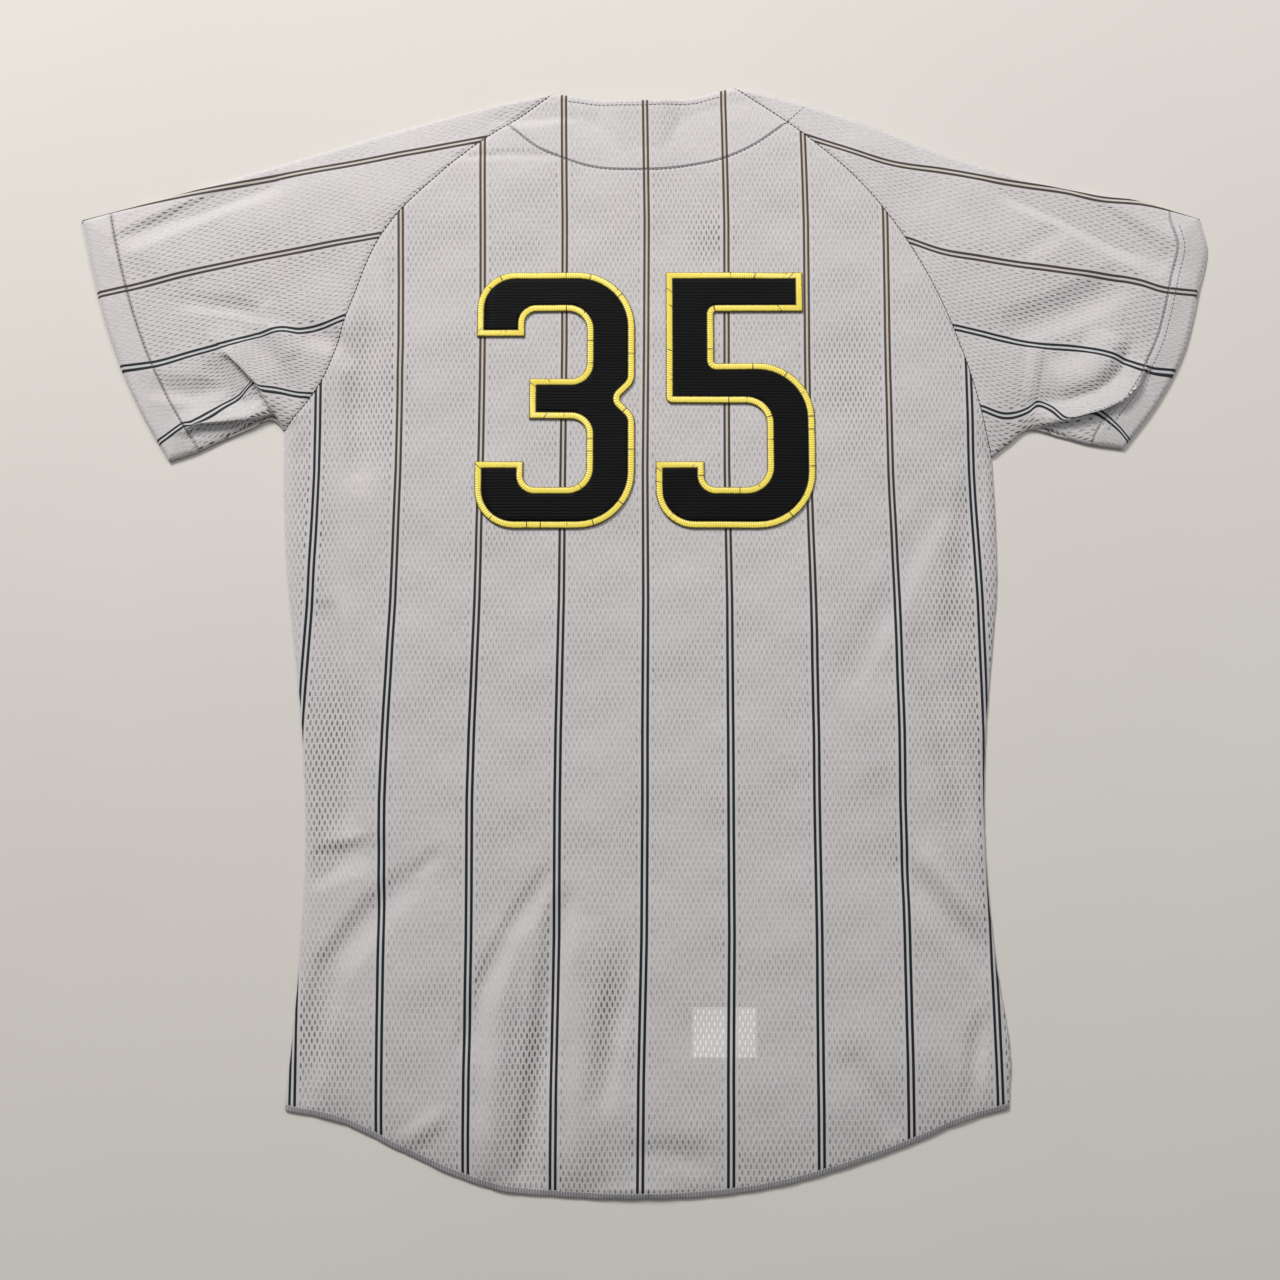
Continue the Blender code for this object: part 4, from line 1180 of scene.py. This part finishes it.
    # The label inside the tail shows white through the holes and a little through the knit
    low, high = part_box("tail_label")
    middle = [-(low[0] + high[0]) / 2, -(low[1] + high[1]) / 2, 0.0]
    near = add(tree, "VectorMath", {0: place, 1: middle})
    near = add(tree, "VectorMath", {0: near}, operation="ABSOLUTE")
    half_size = (2 / (high[0] - low[0]), 2 / (high[1] - low[1]), 0)
    near = add(tree, "VectorMath", {0: near, 1: half_size}, operation="MULTIPLY")
    near_x, near_y = [add(tree, "SeparateXYZ", {0: near}, out=k) for k in (0, 1)]
    near = add(tree, "Math", {0: near_x, 1: near_y}, operation="MAXIMUM")
    label = add(tree, "MapRange", {0: near, 1: 0.97, 2: 1.03, 3: 1.0, 4: 0.0})
    seen = add(tree, "MapRange", {0: hole, 3: 0.25, 4: 1.0})
    label = add(tree, "Math", {0: label, 1: seen}, operation="MULTIPLY")
    # Stripes are painted lighter brown toward the shoulders as painted light; near-black is their own colour
    stripe_colour = add(tree, "Mix", {0: ink, 6: srgb(settings.lit_upper_stripe),
                                                7: srgb(settings.lower_stripe)}, out=2, data_type="RGBA")
    gap_colour = add(tree, "Mix", {0: ink, 6: srgb("#C6B9A6"), 7: srgb("#C3C6C9")}, out=2,
                     data_type="RGBA")
    gap_share = add(tree, "Math", {0: between, 1: 0.8}, operation="MULTIPLY")
    line = add(tree, "Math", {0: line, 1: clear}, operation="MULTIPLY")
    # Thread of the tail hem, one stitch to each 2 mm
    tick = add(tree, "Math", {0: u, 1: 1.0}, operation="PINGPONG")
    tick = add(tree, "MapRange", {0: tick, 1: 0.2, 2: 0.8})
    overlock = add(tree, "Math", {0: 1.0, 1: clear}, operation="SUBTRACT")
    thread = add(tree, "MapRange", {0: tick, 3: 0.8, 4: 0.15})
    thread = add(tree, "Math", {0: thread, 1: overlock}, operation="MULTIPLY")
    # A line of sewing pulls the cloth down into a soft groove, which is also painted darker as shade
    seam = add(tree, "Math", {0: seam}, operation="ABSOLUTE")
    groove = add(tree, "MapRange", {0: seam, 2: 1.9, 3: 1.0, 4: 0.0},
                 interpolation_type="SMOOTHSTEP")
    groove_painted_shade = add(tree, "Math", {0: groove, 1: 0.32}, operation="MULTIPLY")
    # Colours one over the other: painted shade between yarns, painted shade in the holes, label, gap between
    # lines, lines, hem thread, painted shade in the groove
    shade = srgb(settings.shade_colour)
    for share, over in ((yarn_shade, shade), (hole_shade_mix, shade), (label, srgb("#FBFAF8")),
                        (gap_share, gap_colour), (line, stripe_colour), (thread, srgb("#8A878C")),
                        (groove_painted_shade, shade)):
        colour = add(tree, "Mix", {0: share, 6: colour, 7: over}, out=2, data_type="RGBA")
    # Relief: holes sunk, yarns, grooves, and the hem's thread
    sunk = add(tree, "Math", {0: hole, 1: hole_shade_share}, operation="MULTIPLY")
    hem_relief = add(tree, "Math", {0: tick, 1: overlock}, operation="MULTIPLY")
    relief = 0.0
    for share, rise in ((sunk, -0.9), (yarn, 0.45), (groove, -1.2), (hem_relief, 0.5)):
        relief = add(tree, "Math", {0: share, 1: rise, 2: relief}, operation="MULTIPLY_ADD")
    normal = add(tree, "Bump", {"Height": relief, "Distance": MM, "Strength": 0.8})
    finish_material(tree, {
        "Base Color": colour, "Roughness": 0.74, "Normal": normal, "IOR": 1.5, "Specular IOR Level": 0.35,
        "Sheen Weight": 0.12, "Sheen Roughness": 0.5})


def knit_material(name, code, scale):
    """Plain polyester knit or woven label: matt, with fine fibre relief."""
    tree = new_material(name)
    place = add(tree, "TexCoord", out=3)
    fibre = add(tree, "TexNoise", {"Vector": place, "Scale": scale, "Detail": 3.0})
    base = srgb(code)
    dark = tuple(c * 0.86 for c in base[:3]) + (1.0,)
    colour = add(tree, "Mix", {0: fibre, 6: dark, 7: base}, out=2, data_type="RGBA")
    normal = add(tree, "Bump", {"Height": fibre, "Distance": 0.4 * MM, "Strength": 0.7})
    finish_material(tree, {"Base Color": colour, "Roughness": 0.75, "Normal": normal})


def twill_material(settings):
    """Polyester twill for sewn-on numerals: black, with level ribs whose crests carry a painted highlight.
    Real ribs are 1.4 mm apart and are drawn 2.4 mm apart, so that they show."""
    rib_pitch = 2.4 * MM
    tree = new_material("ribbed_twill")
    place = add(tree, "TexCoord", out=3)
    wobble = add(tree, "TexNoise", {"Vector": place, "Scale": 90.0, "Detail": 2.0})
    y = add(tree, "SeparateXYZ", {0: place}, out=1)
    y = add(tree, "Math", {0: wobble, 1: 0.9 * MM, 2: y}, operation="MULTIPLY_ADD")
    rib = add(tree, "Math", {0: y, 1: 2 * math.pi / rib_pitch}, operation="MULTIPLY")
    rib = add(tree, "Math", {0: rib}, operation="SINE")
    rib = add(tree, "MapRange", {0: rib, 1: -1.0, 2: 1.0})
    lint = add(tree, "TexNoise", {"Vector": place, "Scale": 700.0, "Detail": 2.0})
    # The ribs' crests are painted lighter, a painted highlight
    share = add(tree, "Math", {0: rib, 1: lint}, operation="MULTIPLY")
    colour = add(tree, "Mix", {0: share, 6: srgb(settings.twill_colour), 7: srgb("#131415")}, out=2,
                 data_type="RGBA")
    relief = add(tree, "Math", {0: lint, 1: 0.4, 2: rib}, operation="MULTIPLY_ADD")
    normal = add(tree, "Bump", {"Height": relief, "Distance": 0.25 * MM, "Strength": 0.8})
    finish_material(tree, {"Base Color": colour, "Roughness": 0.7, "Normal": normal,
                                      "Specular IOR Level": 0.12})


def satin_material(settings):
    """Rayon satin stitch: bright yellow thread laid across the strip, with a soft shine, a thin dark
    line at both sides and a dark mark where a run of stitches starts."""
    tree = new_material("satin_stitch")
    uv = add(tree, "UVMap", uv_map="grain")
    along, across = [add(tree, "SeparateXYZ", {0: uv}, out=k) for k in (0, 1)]
    middle = settings.edging_width / 2
    edge = add(tree, "Math", {0: across, 1: middle}, operation="SUBTRACT")
    edge = add(tree, "Math", {0: edge}, operation="ABSOLUTE")
    fray = add(tree, "TexNoise", {"Vector": uv, "Scale": 0.55, "Detail": 2.0})
    edge = add(tree, "Math", {0: fray, 1: 0.9, 2: edge}, operation="MULTIPLY_ADD")
    border = add(tree, "MapRange", {0: edge, 1: middle - 0.5, 2: middle - 0.1})
    # Stitches 1 mm apart, drawn 1.8 mm apart so that they show; the dips between them are painted darker and
    # more orange as shade
    stitch = add(tree, "Math", {0: along, 1: 0.9}, operation="PINGPONG")
    stitch = add(tree, "MapRange", {0: stitch, 2: 0.9})
    start = add(tree, "TexVoronoi", {"W": along, "Scale": 1 / 21.0, "Randomness": 1.0},
                voronoi_dimensions="1D")
    start = add(tree, "MapRange", {0: start, 1: 0.012, 2: 0.030, 3: 1.0, 4: 0.0})
    patchy = add(tree, "TexNoise", {"Vector": uv, "Scale": 0.13, "Detail": 1.0})
    patchy = add(tree, "MapRange", {0: patchy, 1: 0.40, 2: 0.52})
    start = add(tree, "Math", {0: start, 1: patchy}, operation="MULTIPLY")
    base = srgb(settings.edging_colour)
    # Painted shade for the dips between stitches
    stitch_dip_shade = (base[0] * 0.92, base[1] * 0.86, base[2] * 0.66, 1.0)
    colour = add(tree, "Mix", {0: stitch, 6: stitch_dip_shade, 7: base}, out=2, data_type="RGBA")
    border = add(tree, "Math", {0: border, 1: 0.85}, operation="MULTIPLY")
    colour = add(tree, "Mix", {0: border, 6: colour, 7: srgb("#4A3A12")}, out=2, data_type="RGBA")
    colour = add(tree, "Mix", {0: start, 6: colour, 7: srgb("#4F3D10")}, out=2, data_type="RGBA")
    normal = add(tree, "Bump", {"Height": stitch, "Distance": 0.35 * MM, "Strength": 0.7})
    finish_material(tree, {"Base Color": colour, "Roughness": 0.42, "Normal": normal,
                                      "Sheen Weight": 0.1})


def thread_material(name, code):
    """Spun polyester sewing thread, matt, a little uneven."""
    tree = new_material(name)
    place = add(tree, "TexCoord", out=3)
    fibre = add(tree, "TexNoise", {"Vector": place, "Scale": 900.0, "Detail": 2.0})
    base = srgb(code)
    light = tuple(min(1.0, c * 1.5 + 0.01) for c in base[:3]) + (1.0,)
    colour = add(tree, "Mix", {0: fibre, 6: base, 7: light}, out=2, data_type="RGBA")
    finish_material(tree, {"Base Color": colour, "Roughness": 0.7})


def button_material():
    """Moulded polyester button: grey with faint cloudy streaks and a satin polish."""
    tree = new_material("moulded_button")
    place = add(tree, "TexCoord", out=3)
    cloud = add(tree, "TexNoise", {"Vector": place, "Scale": 160.0, "Detail": 4.0,
                                             "Distortion": 1.5})
    colour = add(tree, "Mix", {0: cloud, 6: srgb("#8E8B90"), 7: srgb("#AEABB0")}, out=2,
                 data_type="RGBA")
    finish_material(tree, {"Base Color": colour, "Roughness": 0.32, "IOR": 1.55})


class JERSEY_OT_finishes(bpy.types.Operator):
    """Makes the materials"""
    bl_idname = "jersey.finishes"
    bl_label = "Finishes"

    def execute(self, context):
        settings = context.scene.jersey
        mesh_material(settings)
        twill_material(settings)
        satin_material(settings)
        knit_material("plain_knit", "#C9C3C7", 900.0)
        knit_material("woven_label", "#ECEAE9", 1400.0)
        thread_material("dark_thread", "#2B272A")
        thread_material("grey_thread", "#77727A")
        thread_material("pale_thread", "#9C969A")
        button_material()
        return {"FINISHED"}


def area_light(name, place, aim, size, power, colour):
    """A soft square lamp aimed at a point."""
    data = bpy.data.lights.new(name, "AREA")
    data.shape = "SQUARE"
    data.size = size
    data.energy = power
    data.color = colour
    lamp = bpy.data.objects.new(name, data)
    lamp.location = place
    lamp.rotation_euler = (Vector(aim) - Vector(place)).to_track_quat("-Z", "Y").to_euler()
    bpy.context.scene.collection.objects.link(lamp)


class JERSEY_OT_stage(bpy.types.Operator):
    """Makes the pale floor, the soft studio light and the camera"""
    bl_idname = "jersey.stage"
    bl_label = "Stage"

    def execute(self, context):
        scene = context.scene
        bpy.ops.object.select_all(action="DESELECT")
        bpy.ops.mesh.primitive_plane_add(size=8.0, location=(0.0, 0.0, -0.0002))
        floor = context.object
        floor.name = "floor"
        tree = new_material("pale_floor")
        place = add(tree, "TexCoord", out=3)
        grain = add(tree, "TexNoise", {"Vector": place, "Scale": 3.0, "Detail": 4.0})
        colour = add(tree, "Mix", {0: grain, 6: srgb("#D6D1CA"), 7: srgb("#DEDAD3")}, out=2,
                     data_type="RGBA")
        finish_material(tree, {"Base Color": colour, "Roughness": 0.85})
        floor.data.materials.append(bpy.data.materials["pale_floor"])
        area_light("key", KEY_PLACE, (0.0, 0.05, 0.0), 0.9, KEY_POWER, (1.0, 0.99, 0.975))
        area_light("fill", FILL_PLACE, (0.0, 0.0, 0.0), 1.2, FILL_POWER, (0.99, 0.99, 1.0))
        world = bpy.data.worlds.new("studio")
        world.use_nodes = True
        background = world.node_tree.nodes["Background"]
        background.inputs["Color"].default_value = (0.97, 0.985, 1.0, 1.0)
        background.inputs["Strength"].default_value = SKY_STRENGTH
        scene.world = world
        scene.view_settings.view_transform = "Standard"
        data = bpy.data.cameras.new("camera")
        data.sensor_width = SENSOR_WIDTH
        data.lens = SENSOR_WIDTH * CAMERA_FOCAL_PIXELS / IMAGE_PIXELS
        data.clip_end = 20.0
        camera = bpy.data.objects.new("camera", data)
        tilt = math.radians(CAMERA_TILT)
        camera.location = Vector((-ORIGIN_X, -CAMERA_DISTANCE * math.sin(tilt) - ORIGIN_Y,
                                  CAMERA_DISTANCE * math.cos(tilt))) * MM
        camera.rotation_euler = (tilt, 0.0, 0.0)
        scene.collection.objects.link(camera)
        scene.camera = camera
        return {"FINISHED"}


class JERSEY_PT_panel(bpy.types.Panel):
    """Lists the jersey's operators in the 3D view's sidebar"""
    bl_label = "Jersey"
    bl_idname = "JERSEY_PT_panel"
    bl_space_type = "VIEW_3D"
    bl_region_type = "UI"
    bl_category = "Jersey"

    def draw(self, context):
        settings = context.scene.jersey
        for name in settings.bl_rna.properties.keys():
            if name not in {"rna_type", "name"}:
                self.layout.prop(settings, name)
        for operator in OPERATORS:
            self.layout.operator(operator.bl_idname)


OPERATORS = (
    JERSEY_OT_finishes,
    JERSEY_OT_fronts,
    JERSEY_OT_back_panel,
    JERSEY_OT_sleeves,
    JERSEY_OT_facing,
    JERSEY_OT_label,
    JERSEY_OT_numerals,
    JERSEY_OT_sewing,
    JERSEY_OT_buttons,
    JERSEY_OT_stage,
)


def register():
    """Registers the settings, operators and panel."""
    for item in (JerseySettings, *OPERATORS, JERSEY_PT_panel):
        bpy.utils.register_class(item)
    bpy.types.Scene.jersey = bpy.props.PointerProperty(type=JerseySettings)


def unregister():
    """Removes what register added."""
    del bpy.types.Scene.jersey
    for item in reversed((JerseySettings, *OPERATORS, JERSEY_PT_panel)):
        bpy.utils.unregister_class(item)


def main():
    """Builds every piece in order."""
    register()
    bpy.ops.jersey.finishes()
    bpy.ops.jersey.fronts()
    bpy.ops.jersey.back_panel()
    bpy.ops.jersey.sleeves()
    bpy.ops.jersey.facing()
    bpy.ops.jersey.label()
    bpy.ops.jersey.numerals()
    bpy.ops.jersey.sewing()
    bpy.ops.jersey.buttons()
    bpy.ops.jersey.stage()
    bpy.context.view_layer.update()


if __name__ == "__main__":
    main()
